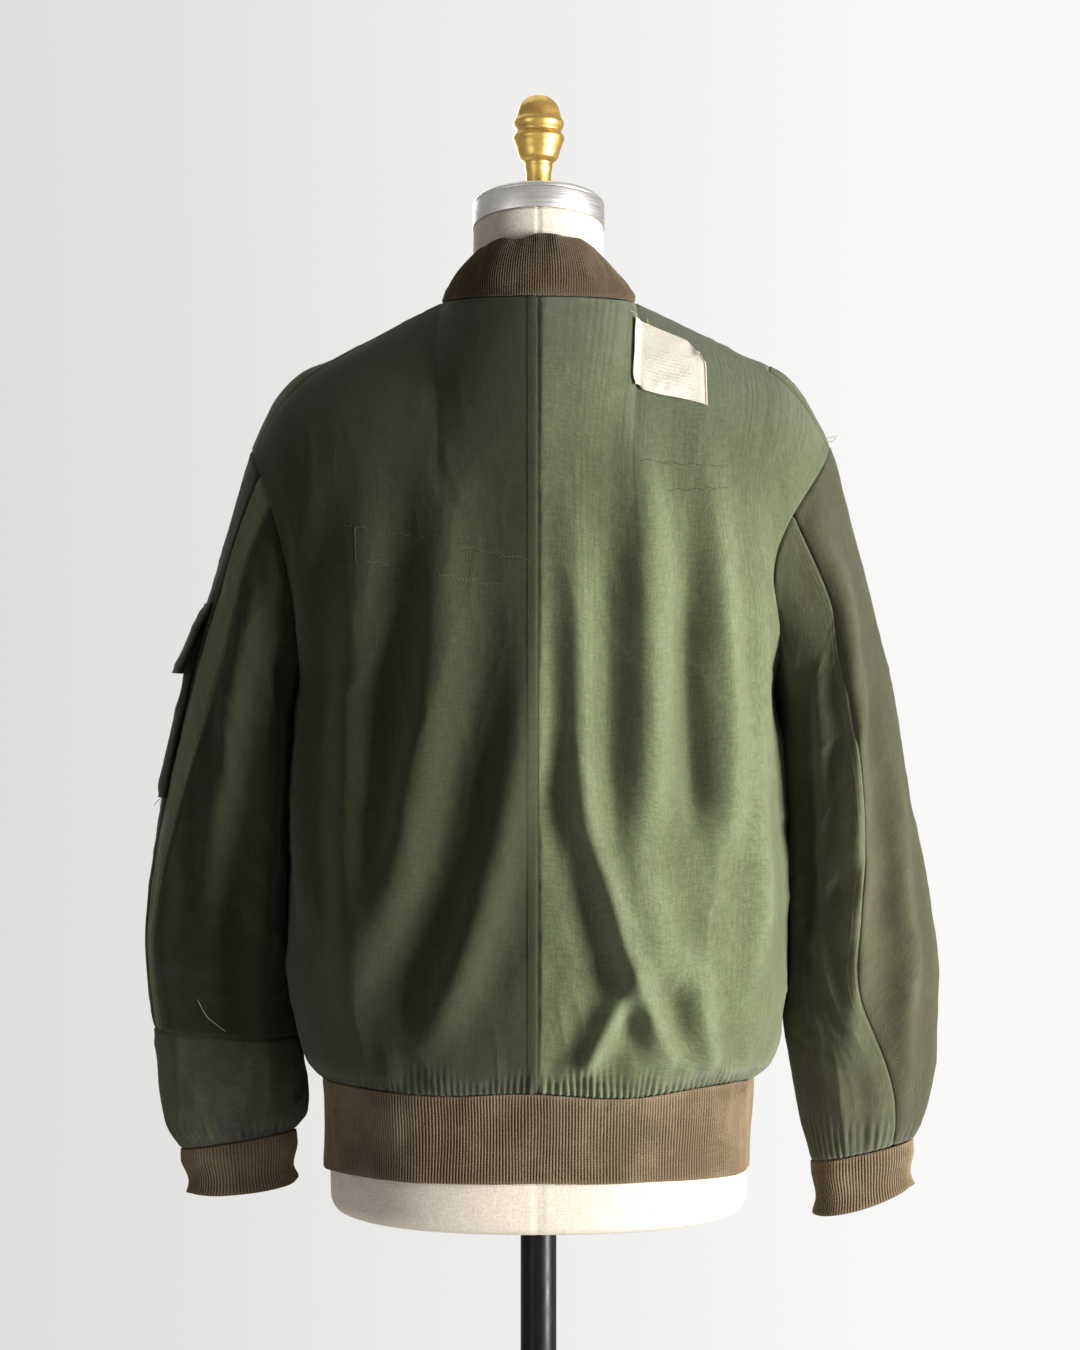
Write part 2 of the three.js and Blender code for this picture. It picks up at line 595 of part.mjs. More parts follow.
function addCollar() {
  const corners = [-178.4, -158.75, -137.5, -116.25, -95, -85, -63.75, -42.5, -21.25, 0.001];
  for (let i = 8; i >= 0; i -= 1) corners.push(-corners[i]);
  const place = (u, at) => {
    const cell = Math.min(Math.floor(u * NECK_CELLS), NECK_CELLS - 1);
    const angle = THREE.MathUtils.lerp(corners[cell], corners[cell + 1], u * NECK_CELLS - cell);
    const point = collarPoint(angle, at);
    const turn = angle * DEGREE;
    const out = new THREE.Vector3(Math.sin(turn), Math.cos(turn), 0.6 * at).normalize();
    return { point, out };
  };
  const rows = evenRows(0, 1, 4, NECK_CELLS * 2);
  rows[0].cells = NECK_CELLS;
  addPiece("collar", wallGeometry(place, rows, RIB), "rib");
}

// A cuff hangs from its sleeve's end, flattened, with the hem a little narrower
function addCuff(name, hand, drop) {
  const form = (angle, rise) => {
    const top = sleeveForm(hand, angle, 1);
    const middle = sleeveForm(hand, 0, 1).add(sleeveForm(hand, 180, 1)).multiplyScalar(0.5);
    const spread = top.clone().sub(middle);
    spread.multiplyScalar(1 - 0.12 * Math.sin(Math.PI * Math.min(rise * 1.4, 1)) * (1 - rise));
    const low = middle.clone().add(spread);
    low.x -= hand * drop.inward * (1 - rise);
    low.z -= (drop.height + drop.sag * Math.max(0, Math.cos((angle - 120) * DEGREE))) * (1 - rise);
    return low;
  };
  const place = (u, at) => {
    const angle = -180 + 360 * u;
    const rise = Math.min(at, 1 - SEAM_GAP / drop.height);
    const point = form(angle, rise);
    const middle = form(0, rise).add(form(180, rise)).multiplyScalar(0.5);
    const level = THREE.MathUtils.clamp(rise, 0.01, 0.98);
    return { point, out: wayOut((a, b) => form(a * 360, b), angle / 360, level, middle) };
  };
  addPiece(name, wallGeometry(place, evenRows(0, 1, 2, 24), RIB - 0.4, true), "rib");
}

// The place (u, w) on a quarter's form that lies at a given x and z
function findOnBody(hand, face, x, z) {
  let [u, w] = [0.5, 1.8];
  for (let i = 0; i < 40; i += 1) {
    const here = bodyForm(hand, face, u, w);
    const step = 0.002;
    const across = bodyForm(hand, face, u + step, w).sub(here).divideScalar(step);
    const along = bodyForm(hand, face, u, w + step).sub(here).divideScalar(step);
    const [missX, missZ] = [x - here.x, z - here.z];
    const scale = across.x * along.z - across.z * along.x;
    u = THREE.MathUtils.clamp(u + 0.6 * (missX * along.z - missZ * along.x) / scale, 0.02, 0.98);
    w = THREE.MathUtils.clamp(w + 0.6 * (across.x * missZ - across.z * missX) / scale, 0.05, 1.96);
  }
  return [u, w];
}

// The cloth label over the right shoulder blade, by its corners seen from behind
function addLabel() {
  const corners = table("name x z", ["upperIn", -81, 1505], ["upperOut", -141, 1478],
    ["lowerIn", -77, 1440], ["lowerOut", -140, 1424]);
  const [upperIn, upperOut, lowerIn, lowerOut] = corners;
  const place = (u, at) => {
    const blend = (name) => THREE.MathUtils.lerp(
      THREE.MathUtils.lerp(lowerIn[name], lowerOut[name], u),
      THREE.MathUtils.lerp(upperIn[name], upperOut[name], u), at);
    const [across, along] = findOnBody(-1, 1, blend("x"), blend("z"));
    return onBody(-1, 1, across, along, 2);
  };
  addPiece("label", wallGeometry(place, evenRows(0, 1, 5, 5), 0.9), "labelCloth");
}

// The place along a sleeve where it reaches a height, at an angle
function findOnSleeve(hand, angle, z) {
  let [low, high] = [0, 1];
  for (let i = 0; i < 24; i += 1) {
    const middle = (low + high) / 2;
    if (sleeveForm(hand, angle, middle).z > z) low = middle;
    else high = middle;
  }
  return low;
}

// The cargo pocket on the left upper sleeve, and its flap that stands off at its lower edge
function addSleevePocket() {
  const pocket = { top: 1236, bottom: 1096, front: -52, back: 34, lift: 3.6, rise: 0, stand: 0 };
  const flap = { top: 1262, bottom: 1200, front: -56, back: 38, lift: 2.8, rise: 3.6, stand: 9 };
  const plate = (size) => (u, at) => {
    const angle = THREE.MathUtils.lerp(size.front, size.back, u);
    const z = THREE.MathUtils.lerp(size.bottom, size.top, at);
    const over = size.rise * Math.min(1, 3 * (1 - at));
    return onSleeve(1, angle, findOnSleeve(1, angle, z), size.lift + over + size.stand * (1 - at) ** 1.5);
  };
  addPiece("sleeve_pocket", wallGeometry(plate(pocket), evenRows(0, 1, 6, 7), 2.6), "darkOlive");
  addPiece("sleeve_pocket_flap", wallGeometry(plate(flap), evenRows(0, 1, 3, 7), 2), "darkOlive");
}

// The zip's line down the front: from the waistband's foot to the neck
function zipLine(at) {
  const waistShare = 0.1;
  if (at > waistShare) return bodyForm(1, -1, 0, ((at - waistShare) / (1 - waistShare)) * 1.99);
  const rise = at / waistShare;
  const foot = HEM_SEAM_Z - WAISTBAND_HEIGHT + 1;
  const hem = bodyForm(1, -1, 0, 0);
  return new THREE.Vector3(0, -131, foot).lerp(hem, rise);
}

function zipFrame(at) {
  const along = zipLine(Math.min(at + 0.01, 1)).sub(zipLine(Math.max(at - 0.01, 0))).normalize();
  return { point: zipLine(at), along, out: new THREE.Vector3(0, -along.z, along.y) };
}

function addZip() {
  const place = (u, at) => {
    const { point, out } = zipFrame(at);
    point.x = THREE.MathUtils.lerp(-ZIP_HALF_WIDTH, ZIP_HALF_WIDTH, u);
    return { point: point.addScaledVector(out, 0.6), out };
  };
  addPiece("zip_chain", wallGeometry(place, evenRows(0, 1, 30, 1), 2.4), "zipMetal");
  const { point, along, out } = zipFrame(0.965);
  const slider = new THREE.Group();
  slider.position.copy(point.addScaledVector(out, 1.1));
  slider.rotation.x = -Math.atan2(along.y, along.z);
  part.add(slider);
  addSlider(slider);
}

// In the slider's own frame -Y is away from the cloth and Z runs up the zip
function addSlider(parent) {
  const [plateThick, eye, wall, width] = [2, 3.4, 1.2, 5];
  const axisY = -(plateThick + eye / 2);
  const outline = new THREE.Shape();
  const crown = eye / 2 + wall;
  const height = plateThick + eye + wall;
  outline.moveTo(0, -7).lineTo(plateThick, -7).lineTo(plateThick, -crown).lineTo(height, -crown);
  outline.lineTo(height, crown).lineTo(plateThick, crown).lineTo(plateThick, 6).lineTo(0, 6);
  const hole = new THREE.Path();
  const half = eye / 2;
  hole.moveTo(plateThick, -half).lineTo(plateThick + eye, -half).lineTo(plateThick + eye, half);
  hole.lineTo(plateThick, half);
  outline.holes.push(hole);
  const body = new THREE.ExtrudeGeometry(outline, { depth: width, bevelEnabled: false });
  body.applyMatrix4(new THREE.Matrix4().makeBasis(
    new THREE.Vector3(0, -1, 0), new THREE.Vector3(0, 0, 1), new THREE.Vector3(-1, 0, 0)));
  body.translate(width / 2, 0, 0);
  addPiece("zip_slider", body, "zipMetal", parent);
  const tab = new THREE.Shape();
  tab.moveTo(-4.4, 0.9).lineTo(-4.4, -8).lineTo(-3, -29).lineTo(3, -29).lineTo(4.4, -8).lineTo(4.4, 0.9);
  const opening = new THREE.Path();
  opening.moveTo(-3, -0.9).lineTo(3, -0.9).lineTo(3, -4.8).lineTo(-3, -4.8);
  tab.holes.push(opening);
  const plate = new THREE.ExtrudeGeometry(tab, { depth: 1.4, bevelEnabled: false });
  plate.rotateX(Math.PI / 2);
  plate.translate(0, axisY + 0.7, 0);
  addPiece("zip_pull_tab", plate, "zipMetal", parent);
}

// Dress form: rounded sections from its floor to the neck; lean lifts the back of the top
const formSections = table("z side back front square lean",
  [741, 166, 114, 100, 2.3, 0], [745, 175, 122, 107, 2.3, 0], [756, 179.5, 127, 111, 2.3, 0],
  [830, 178, 126, 110, 2.3, 0], [930, 164, 112, 100, 2.2, 0], [1050, 138, 92, 92, 2.2, 0],
  [1200, 148, 98, 108, 2.2, 0], [1320, 166, 106, 114, 2.2, 0], [1400, 174, 98, 92, 2.1, 0],
  [1440, 178, 80, 70, 1.9, 0], [1462, 178, 66, 56, 1.7, 0], [1478, 170.6, 56, 46, 1.5, 0],
  [1494, 139.6, 50, 42, 1.4, 0], [1507, 110.6, 46, 41, 1.35, 0], [1517, 80, 47, 44, 1.5, 0],
  [1526, 64, 50, 50, 1.8, 0.05], [1538, 58.5, 53, 53, 2, 0.08], [1560, 57, 55, 55, 2, 0.13],
  [1589.5, 56.5, 56, 56, 2, 0.158]);

function formRing(row) {
  const points = [];
  for (let i = 0; i < FORM_CELLS; i += 1) {
    const angle = (i / FORM_CELLS) * 360 * DEGREE;
    const reach = roundedReach(row.side, Math.cos(angle) > 0 ? row.back : row.front, row.square, angle);
    const y = reach * Math.cos(angle);
    points.push(reach * Math.sin(angle), y, row.z + row.lean * y);
  }
  return points;
}

function addForm() {
  const vertices = [...formSections.flatMap(formRing), 0, 0, FORM_FLOOR_Z, 0, 0, CAP_Z - 0.5];
  const ring = (r) => Array.from({ length: FORM_CELLS }, (_, i) => r * FORM_CELLS + i);
  const last = formSections.length - 1;
  const [floor, top] = [(last + 1) * FORM_CELLS, (last + 1) * FORM_CELLS + 1];
  const faces = [];
  for (let r = 1; r <= last; r += 1) joinRows(faces, ring(r - 1), ring(r), FORM_CELLS, FORM_CELLS);
  for (let i = 0; i < FORM_CELLS; i += 1) {
    const next = (i + 1) % FORM_CELLS;
    faces.push(next, i, floor);
    faces.push(last * FORM_CELLS + i, last * FORM_CELLS + next, top);
  }
  addPiece("form_torso", closedGeometry(vertices, faces), "canvas");
}

function lathe(points, segments) {
  const profile = points.map(([radius, z]) => new THREE.Vector2(radius, z));
  return new THREE.LatheGeometry(profile, segments).rotateX(Math.PI / 2);
}

function addNeckCap() {
  const edge = 3;
  const cap = lathe([[0, 0], [CAP_RADIUS, 0], [CAP_RADIUS, CAP_HEIGHT - edge],
    [CAP_RADIUS - 1, CAP_HEIGHT - 1], [CAP_RADIUS - edge, CAP_HEIGHT], [0, CAP_HEIGHT + 1]], FORM_CELLS);
  const mesh = addPiece("neck_cap", cap, "steel");
  mesh.position.z = CAP_Z;
  mesh.rotation.x = CAP_TILT * DEGREE;
}

// The turned finial by radius and height: stem, cup, waist, dome and button
function addFinial() {
  const foot = CAP_Z + CAP_HEIGHT + 3.2;
  const profile = [[0, 0], [11, 0], [11.2, 24], [12.4, 31], [16.4, 34], [18.6, 42], [20.4, 48],
    [22.6, 53], [21.2, 56], [19.4, 59], [21.3, 62.5], [22.3, 66], [20.8, 70], [18.6, 76], [17, 81],
    [14.5, 85], [10, 88.6], [0, 90]];
  const mesh = addPiece("finial", lathe(profile, 18), "gold");
  mesh.position.z = foot;
}

function addStand() {
  const pole = lathe([[0, BASE_TOP + SEAM_GAP], [POLE_RADIUS, BASE_TOP + SEAM_GAP],
    [POLE_RADIUS, FORM_FLOOR_Z - SEAM_GAP], [0, FORM_FLOOR_Z - SEAM_GAP]], 20);
  addPiece("pole", pole, "black");
  const base = lathe([[0, 0], [BASE_RADIUS, 0], [BASE_RADIUS, BASE_EDGE - 3], [BASE_RADIUS - 3, BASE_EDGE],
    [60, BASE_TOP], [0, BASE_TOP]], 36);
  addPiece("base", base, "black");
}

addForm();
addNeckCap();
addFinial();
addStand();

addBodyPanel("back_left", 1, 1, 11, "darkOlive");
addBodyPanel("back_right", -1, 1, 11, "sage");
addBodyPanel("front_left", 1, -1, 8, "darkOlive");
addBodyPanel("front_right", -1, -1, 8, "sage");
addShoulder("shoulder_left", 1, 0, SHOULDER_CELLS, "sage");
addShoulder("shoulder_right", -1, 0, PATCH_CELL, "sage");
addShoulder("shoulder_patch_right", -1, PATCH_CELL, SHOULDER_CELLS, "fadedOlive");

const seamLine = (rows, name) => (s) => smoothValue(rows, s, name);
const underarm = (turn) => () => turn;
const leftStripSeam = seamLine(leftSeams, "strip");
const leftBackSeam = seamLine(leftSeams, "back");
const rightBackSeam = seamLine(rightSeams, "back");
const upper = [0, FOREARM_START];
addSleevePanel("sleeve_left_front", 1, [underarm(-180), leftStripSeam], upper, 14, 13, "darkOlive");
addSleevePanel("sleeve_left_strip", 1, [leftStripSeam, leftBackSeam], upper, 14, 1, "strip");
addSleevePanel("sleeve_left_back", 1, [leftBackSeam, underarm(180)], upper, 14, 6, "darkOlive");
addSleevePanel("sleeve_left_forearm", 1, "ring", [FOREARM_START, 1], 3, 22, "fadedOlive");
addSleevePanel("sleeve_right_front", -1, [underarm(-180), rightBackSeam], [0, 1], 16, 14, "fadedOlive");
addSleevePanel("sleeve_right_back", -1, [rightBackSeam, underarm(180)], [0, 1], 16, 6, "fadedOlive");

addWaistband();
addCollar();
addCuff("cuff_left", 1, { height: 38, sag: 8, inward: 3 });
addCuff("cuff_right", -1, { height: 40, sag: 8, inward: -1 });
addLabel();
addSleevePocket();
addZip();

export default part;
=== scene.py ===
import json
import math
import bpy
import numpy as np
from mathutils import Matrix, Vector

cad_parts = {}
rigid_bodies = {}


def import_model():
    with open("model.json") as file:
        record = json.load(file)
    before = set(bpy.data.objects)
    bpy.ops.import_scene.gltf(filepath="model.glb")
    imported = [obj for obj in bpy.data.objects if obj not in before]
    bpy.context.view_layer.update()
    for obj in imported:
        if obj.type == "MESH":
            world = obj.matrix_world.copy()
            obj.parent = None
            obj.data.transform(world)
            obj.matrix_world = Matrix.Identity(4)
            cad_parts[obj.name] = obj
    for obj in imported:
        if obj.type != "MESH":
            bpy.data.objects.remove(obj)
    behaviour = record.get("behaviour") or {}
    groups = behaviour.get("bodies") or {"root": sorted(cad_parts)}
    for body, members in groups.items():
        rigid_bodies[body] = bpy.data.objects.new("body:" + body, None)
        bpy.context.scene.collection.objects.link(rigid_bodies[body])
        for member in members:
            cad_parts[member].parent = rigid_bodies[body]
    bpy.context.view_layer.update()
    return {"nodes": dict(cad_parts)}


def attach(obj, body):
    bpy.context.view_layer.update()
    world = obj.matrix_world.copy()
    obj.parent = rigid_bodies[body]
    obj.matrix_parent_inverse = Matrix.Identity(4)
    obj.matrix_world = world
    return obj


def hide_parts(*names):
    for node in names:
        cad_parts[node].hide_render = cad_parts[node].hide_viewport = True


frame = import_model()
body = "jacket_and_stand"
scene = bpy.context.scene

# The garment's back faces +Y and its left half lies on +X, as in the solids
camera = {"distance": 2.088, "height": 1.18, "aim": (-0.0013, 0.0, 1.2018), "lens": 64.0}
studio = {"keyPower": 196.0, "fillPower": 14.0, "topPower": 4.0, "frontPower": 48.0, "ambient": 0.12,
          "backdropDark": 0.6, "backdropPale": 0.8}


def linked(name, data):
    thing = bpy.data.objects.new(name, data)
    scene.collection.objects.link(thing)
    return thing


def addCamera():
    data = bpy.data.cameras.new("camera")
    data.lens = camera["lens"]
    eye = Vector((0.0, camera["distance"], camera["height"]))
    thing = linked("camera", data)
    thing.location = eye
    thing.rotation_euler = (Vector(camera["aim"]) - eye).to_track_quat("-Z", "Y").to_euler()
    scene.camera = thing


def addSoftLight(name, place, aim, size, power, colour=(1, 1, 1)):
    data = bpy.data.lights.new(name, "AREA")
    data.shape = "RECTANGLE"
    data.size, data.size_y = size
    data.energy = power
    data.color = colour
    thing = linked(name, data)
    thing.location = place
    thing.rotation_euler = (Vector(aim) - Vector(place)).to_track_quat("-Z", "Y").to_euler()


def addNode(tree, kind, inputs=None, **settings):
    node = tree.nodes.new(kind)
    for name, value in settings.items():
        setattr(node, name, value)
    for name, value in (inputs or {}).items():
        socket = node.inputs[name]
        if isinstance(value, bpy.types.NodeSocket):
            tree.links.new(value, socket)
        else:
            socket.default_value = value
    return node


def maths(tree, operation, *values):
    return addNode(tree, "ShaderNodeMath", dict(enumerate(values)), operation=operation).outputs[0]


def times(tree, *values):
    return maths(tree, "MULTIPLY", *values)


def plus(tree, *values):
    return maths(tree, "ADD", *values)


def addWorld():
    world = bpy.data.worlds.new("studio")
    world.use_nodes = True
    tree = world.node_tree
    tree.nodes.clear()
    way = addNode(tree, "ShaderNodeSeparateXYZ", {0: addNode(tree, "ShaderNodeTexCoord").outputs["Generated"]})
    shade = addNode(tree, "ShaderNodeMapRange", {"Value": way.outputs[0], "From Min": 0.26, "From Max": -0.16,
                    "To Min": studio["backdropDark"], "To Max": studio["backdropPale"]}).outputs[0]
    seen = addNode(tree, "ShaderNodeBackground", {"Color": (1, 0.995, 0.985, 1), "Strength": shade})
    lit = addNode(tree, "ShaderNodeBackground", {"Color": (0.97, 0.985, 1, 1), "Strength": studio["ambient"]})
    path = addNode(tree, "ShaderNodeLightPath").outputs
    mirrored = times(tree, path["Is Glossy Ray"], 0.45)
    both = addNode(tree, "ShaderNodeMixShader", {0: maths(tree, "MAXIMUM", path["Is Camera Ray"], mirrored)})
    tree.links.new(lit.outputs[0], both.inputs[1])
    tree.links.new(seen.outputs[0], both.inputs[2])
    out = addNode(tree, "ShaderNodeOutputWorld")
    tree.links.new(both.outputs[0], out.inputs[0])
    scene.world = world


def addFloor():
    rings = [0, 0.5, 1.0, 1.4, 1.8, 2.2]
    points, faces = [(0, 0, 0)], []
    for r in rings[1:]:
        points += [(r * math.cos(a), r * math.sin(a), 0) for a in np.linspace(0, 2 * np.pi, 64, False)]
    for i in range(64):
        faces.append((0, 1 + i, 1 + (i + 1) % 64))
        for k in range(len(rings) - 2):
            a, b = 1 + k * 64, 1 + (k + 1) * 64
            faces.append((a + i, b + i, b + (i + 1) % 64, a + (i + 1) % 64))
    mesh = bpy.data.meshes.new("floor")
    mesh.from_pydata(points, [], faces)
    floor = linked("floor", mesh)
    paint = bpy.data.materials.new("paleFloor")
    paint.use_nodes = True
    tree = paint.node_tree
    shader = tree.nodes["Principled BSDF"]
    shader.inputs["Base Color"].default_value = (0.82, 0.82, 0.81, 1)
    shader.inputs["Roughness"].default_value = 0.7
    where = addNode(tree, "ShaderNodeTexCoord")
    reach = addNode(tree, "ShaderNodeVectorMath", {0: where.outputs["Object"]}, operation="LENGTH")
    fade = addNode(tree, "ShaderNodeMapRange",
                   {"Value": reach.outputs["Value"], "From Min": 0.7, "From Max": 2.15, "To Min": 1.0, "To Max": 0.0},
                   interpolation_type="SMOOTHSTEP")
    tree.links.new(fade.outputs[0], shader.inputs["Alpha"])
    mesh.materials.append(paint)


addCamera()
addWorld()
addSoftLight("keyLight", (-2.8, 1.6, 1.02), (0, 0, 1.08), (0.9, 1.5), studio["keyPower"], (1, 0.99, 0.97))
addSoftLight("fillLight", (2.2, 2.4, 1.3), (0, 0, 1.1), (1.6, 2.0), studio["fillPower"])
addSoftLight("topLight", (0.3, -0.6, 3.0), (0, 0, 1.4), (1.6, 1.6), studio["topPower"])
addSoftLight("frontLight", (0.7, -2.6, 1.9), (0, 0, 1.15), (1.8, 1.8), studio["frontPower"])
addFloor()
scene.view_settings.view_transform = "Standard"
scene.view_settings.look = "Medium High Contrast"
print("stage: camera, lights and floor are in")

# Lengths of the shared shapes are in millimetres
degree = math.pi / 180


def table(names, *rows):
    data = np.array(rows, float)
    columns = {name: data[:, i] for i, name in enumerate(names.split())}
    columns["keys"] = data[:, 0]
    return columns


def namedRows(names, *rows):
    return [dict(zip(names.split(), row)) for row in rows]


# A table's value at a key, on a smooth curve through its rows
def smoothValue(rows, at, name):
    keys, values = rows["keys"], rows[name]
    count = len(keys)
    at = np.asarray(at, float)
    i = np.clip(np.searchsorted(keys, at, side="left") - 1, 0, count - 2)
    index = np.arange(count)
    before, after = np.maximum(index - 1, 0), np.minimum(index + 1, count - 1)
    slopes = (values[after] - values[before]) / (keys[after] - keys[before])
    span = keys[i + 1] - keys[i]
    t = np.clip((at - keys[i]) / span, 0, 1)
    rise = t * t * (3 - 2 * t)
    bend = span * (t * (1 - t) ** 2 * slopes[i] + t * t * (t - 1) * slopes[i + 1])
    return values[i] + (values[i + 1] - values[i]) * rise + bend


def fadeIn(value, start, end):
    t = np.clip((np.asarray(value, float) - start) / (end - start), 0, 1)
    return t * t * (3 - 2 * t)


def mixed(a, b, share):
    return a + (b - a) * share


def stacked(x, y, z):
    return np.stack(np.broadcast_arrays(x, y, z), axis=-1).astype(float)


def roundedReach(side, depth, square, angle):
    across = np.abs(np.sin(angle) / side) ** square
    along = np.abs(np.cos(angle) / depth) ** square
    return (across + along) ** (-1 / square)


jacket = {"hemZ": 858, "armpitZ": 1197, "neckWidth": 84, "neckBack": 70, "neckFront": 92, "neckZ": 1526,
          "neckDrop": 78, "neckShare": 0.25, "neckTurn": 85, "bandHeight": 72, "zipHalf": 4.5,
          "stripAngle": 24, "bow": 14, "rightBow": 29, "square": 2.4, "forearmStart": 0.905,
          "seamGap": 0.12, "headTuck": 0.8}

bodySections = table("z side back front",
    [858, 186, 137, 134], [873, 201, 148, 144], [898, 210, 152, 148], [940, 215.5, 152, 149],
    [1010, 216.5, 149, 148], [1090, 215, 146, 147], [1150, 211, 145, 148], [1197, 203, 144, 148])
backMiddle = table("rise y z",
    [0, 144, 1197], [0.25, 147, 1285], [0.5, 140, 1370], [0.75, 117, 1450], [0.9, 92, 1495], [1, 70, 1521])
frontMiddle = table("rise y z",
    [0, -148, 1197], [0.3, -148, 1275], [0.6, -138, 1350], [0.85, -112, 1415], [1, -92, 1448])
shoulder = table("t x z edgeY edgeDrop edgeIn",
    [0, 84, 1526, 7, 0.5, 0.3], [0.3, 131, 1501.5, 13, 2, 0], [0.55, 178, 1477, 20, 4, 1],
    [0.72, 207, 1463, 27, 9, 3], [0.86, 230, 1438, 33, 11, 4], [1, 249, 1398, 37.4, 8.7, 3.8])
sleeveNames = "s outX outZ inX inZ y back front square"
leftSleeve = table(sleeveNames,
    [0, 249, 1398, 203, 1197, 0, 92, 90, 2], [0.08, 260, 1358, 207, 1168, 0, 92, 90, 2],
    [0.18, 273, 1308, 209, 1136, -1, 90, 88, 2.1], [0.3, 289, 1252, 210, 1098, -2, 86, 85, 2.2],
    [0.42, 304, 1193, 211, 1058, -4, 82, 81, 2.3], [0.54, 320, 1127, 211, 1020, -6, 77, 76, 2.3],
    [0.64, 331, 1071, 212, 990, -8, 72, 72, 2.3], [0.73, 339, 1018, 212, 965, -10, 68, 68, 2.3],
    [0.81, 342, 968, 213, 938, -11, 63, 62, 2.3], [0.88, 338, 918, 211, 905, -12, 57, 56, 2.2],
    [0.94, 331, 862, 205, 862, -13, 49, 48, 2.2], [0.98, 325, 815, 203, 824, -13, 38, 37, 2.2],
    [1, 312, 789, 212, 806, -13, 23, 22, 2.2])
rightSleeve = table(sleeveNames,
    [0, 252, 1402, 203, 1197, 0, 92, 90, 2], [0.08, 264, 1360, 207, 1168, 0, 92, 90, 2],
    [0.18, 278, 1310, 209, 1136, -1, 91, 88, 2.1], [0.3, 292, 1252, 210, 1098, -2, 88, 85, 2.2],
    [0.42, 305, 1193, 211, 1058, -4, 84, 81, 2.3], [0.54, 317, 1127, 211, 1020, -6, 79, 76, 2.3],
    [0.64, 326, 1071, 211, 990, -8, 74, 72, 2.3], [0.73, 334, 1012, 211, 962, -10, 70, 68, 2.3],
    [0.81, 341, 955, 212, 932, -11, 65, 62, 2.3], [0.88, 343, 903, 214, 898, -12, 58, 56, 2.2],
    [0.94, 341, 852, 221, 856, -13, 49, 48, 2.2], [0.98, 335, 815, 228, 818, -13, 38, 37, 2.2],
    [1, 327, 798, 238, 778, -13, 24, 22, 2.2])

# Folds of the body: a ridge through three heights, then its width, height and sharpness
foldNames = "topZ topX midZ midX lowZ lowX width height sharp"
backFolds = namedRows(foldNames,
    (1400, 192, 1120, 197, 960, 191, 15, 7, 0), (1430, 142, 1130, 151, 900, 161, 25, 13, 0),
    (1450, 82, 1150, 90, 885, 160, 28, 16, 0), (1330, 0, 1090, 25, 868, 100, 25, 15, 0.1),
    (1370, -31, 1190, -34, 1040, -43, 18, 13, 0.1), (1150, -34, 985, -63, 868, -114, 15, 18, 0.35),
    (980, -80, 922, -59, 866, -28, 14, 11, 0.4), (1450, -78, 1230, -87, 1040, -88, 24, 17, 0),
    (1420, -138, 1200, -150, 1030, -152, 19, 17, 0), (1110, -70, 1010, -84, 930, -106, 25, 15, 0.15),
    (1340, -114, 1190, -125, 1060, -126, 12, -7, 0),
    (1000, -116, 925, -131, 866, -137, 18, 11, 0.2), (1340, -174, 1130, -182, 920, -177, 15, 11, 0))
frontFolds = namedRows(foldNames,
    (1400, 70, 1160, 82, 890, 110, 25, 9, 0.2), (1360, 128, 1120, 140, 900, 158, 23, 9, 0.2),
    (1040, 44, 960, 52, 880, 60, 22, 8, 0.4), (1400, -76, 1180, -86, 900, -120, 25, 9, 0.2),
    (1340, -132, 1100, -146, 890, -160, 23, 9, 0.2), (1060, -48, 970, -56, 880, -70, 24, 8, 0.4))
sleeveFoldNames = "startS startAngle endS endAngle width height sharp"
leftSleeveFolds = namedRows(sleeveFoldNames,
    (0.08, 84, 0.9, 88, 17, 8, 0.1), (0.12, 128, 0.97, 124, 16, 12, 0.1), (0.3, 54, 0.97, 52, 15, 6, 0.1),
    (0.12, -72, 0.85, -80, 18, 9, 0.1), (0.3, -122, 0.97, -108, 20, 8, 0.1), (0.78, -30, 0.99, -36, 17, 6, 0.1))
rightSleeveFolds = namedRows(sleeveFoldNames,
    (0.02, 64, 0.93, 103, 15, 17, 0.2), (0.08, 128, 0.88, 140, 16, -12, 0), (0.5, 46, 0.98, 58, 13, 8, 0.15),
    (0.6, 22, 0.99, 20, 15, 6, 0.1),
    (0.12, -74, 0.85, -86, 18, 9, 0.1), (0.3, -124, 0.97, -110, 20, 8, 0.1), (0.8, -20, 0.99, -26, 16, 6, 0.1))


def neckPoint(angle):
    cosine = np.cos(angle * degree)
    front = np.abs(np.minimum(cosine, 0))
    x = jacket["neckWidth"] * np.sin(angle * degree)
    y = cosine * np.where(cosine > 0, jacket["neckBack"], jacket["neckFront"])
    drop = np.where(cosine > 0, 5 * cosine, jacket["neckDrop"] * front ** 1.6)
    return stacked(x, y, jacket["neckZ"] - drop)


# A sleeve's plain form: angle 0 is its outer side and 90 its back, and s runs from shoulder to cuff
def sleeveForm(hand, angle, s):
    rows = leftSleeve if hand > 0 else rightSleeve
    value = {name: smoothValue(rows, s, name) for name in sleeveNames.split()}
    reach = roundedReach(1, 1, value["square"], angle * degree)
    outward, backward = np.cos(angle * degree) * reach, np.sin(angle * degree) * reach
    depth = np.where(backward > 0, value["back"], value["front"])
    deep = jacket["bow"] * backward ** 2
    if hand < 0:
        deep = np.where(backward > 0, jacket["rightBow"] * backward ** 4, deep)
    bow = deep * np.maximum(0, 1 - s / 0.14) ** 1.5
    x = (value["outX"] + value["inX"]) / 2 + (value["outX"] - value["inX"]) / 2 * outward - bow
    z = (value["outZ"] + value["inZ"]) / 2 + (value["outZ"] - value["inZ"]) / 2 * outward
    return stacked(hand * x, value["y"] + depth * backward, z)


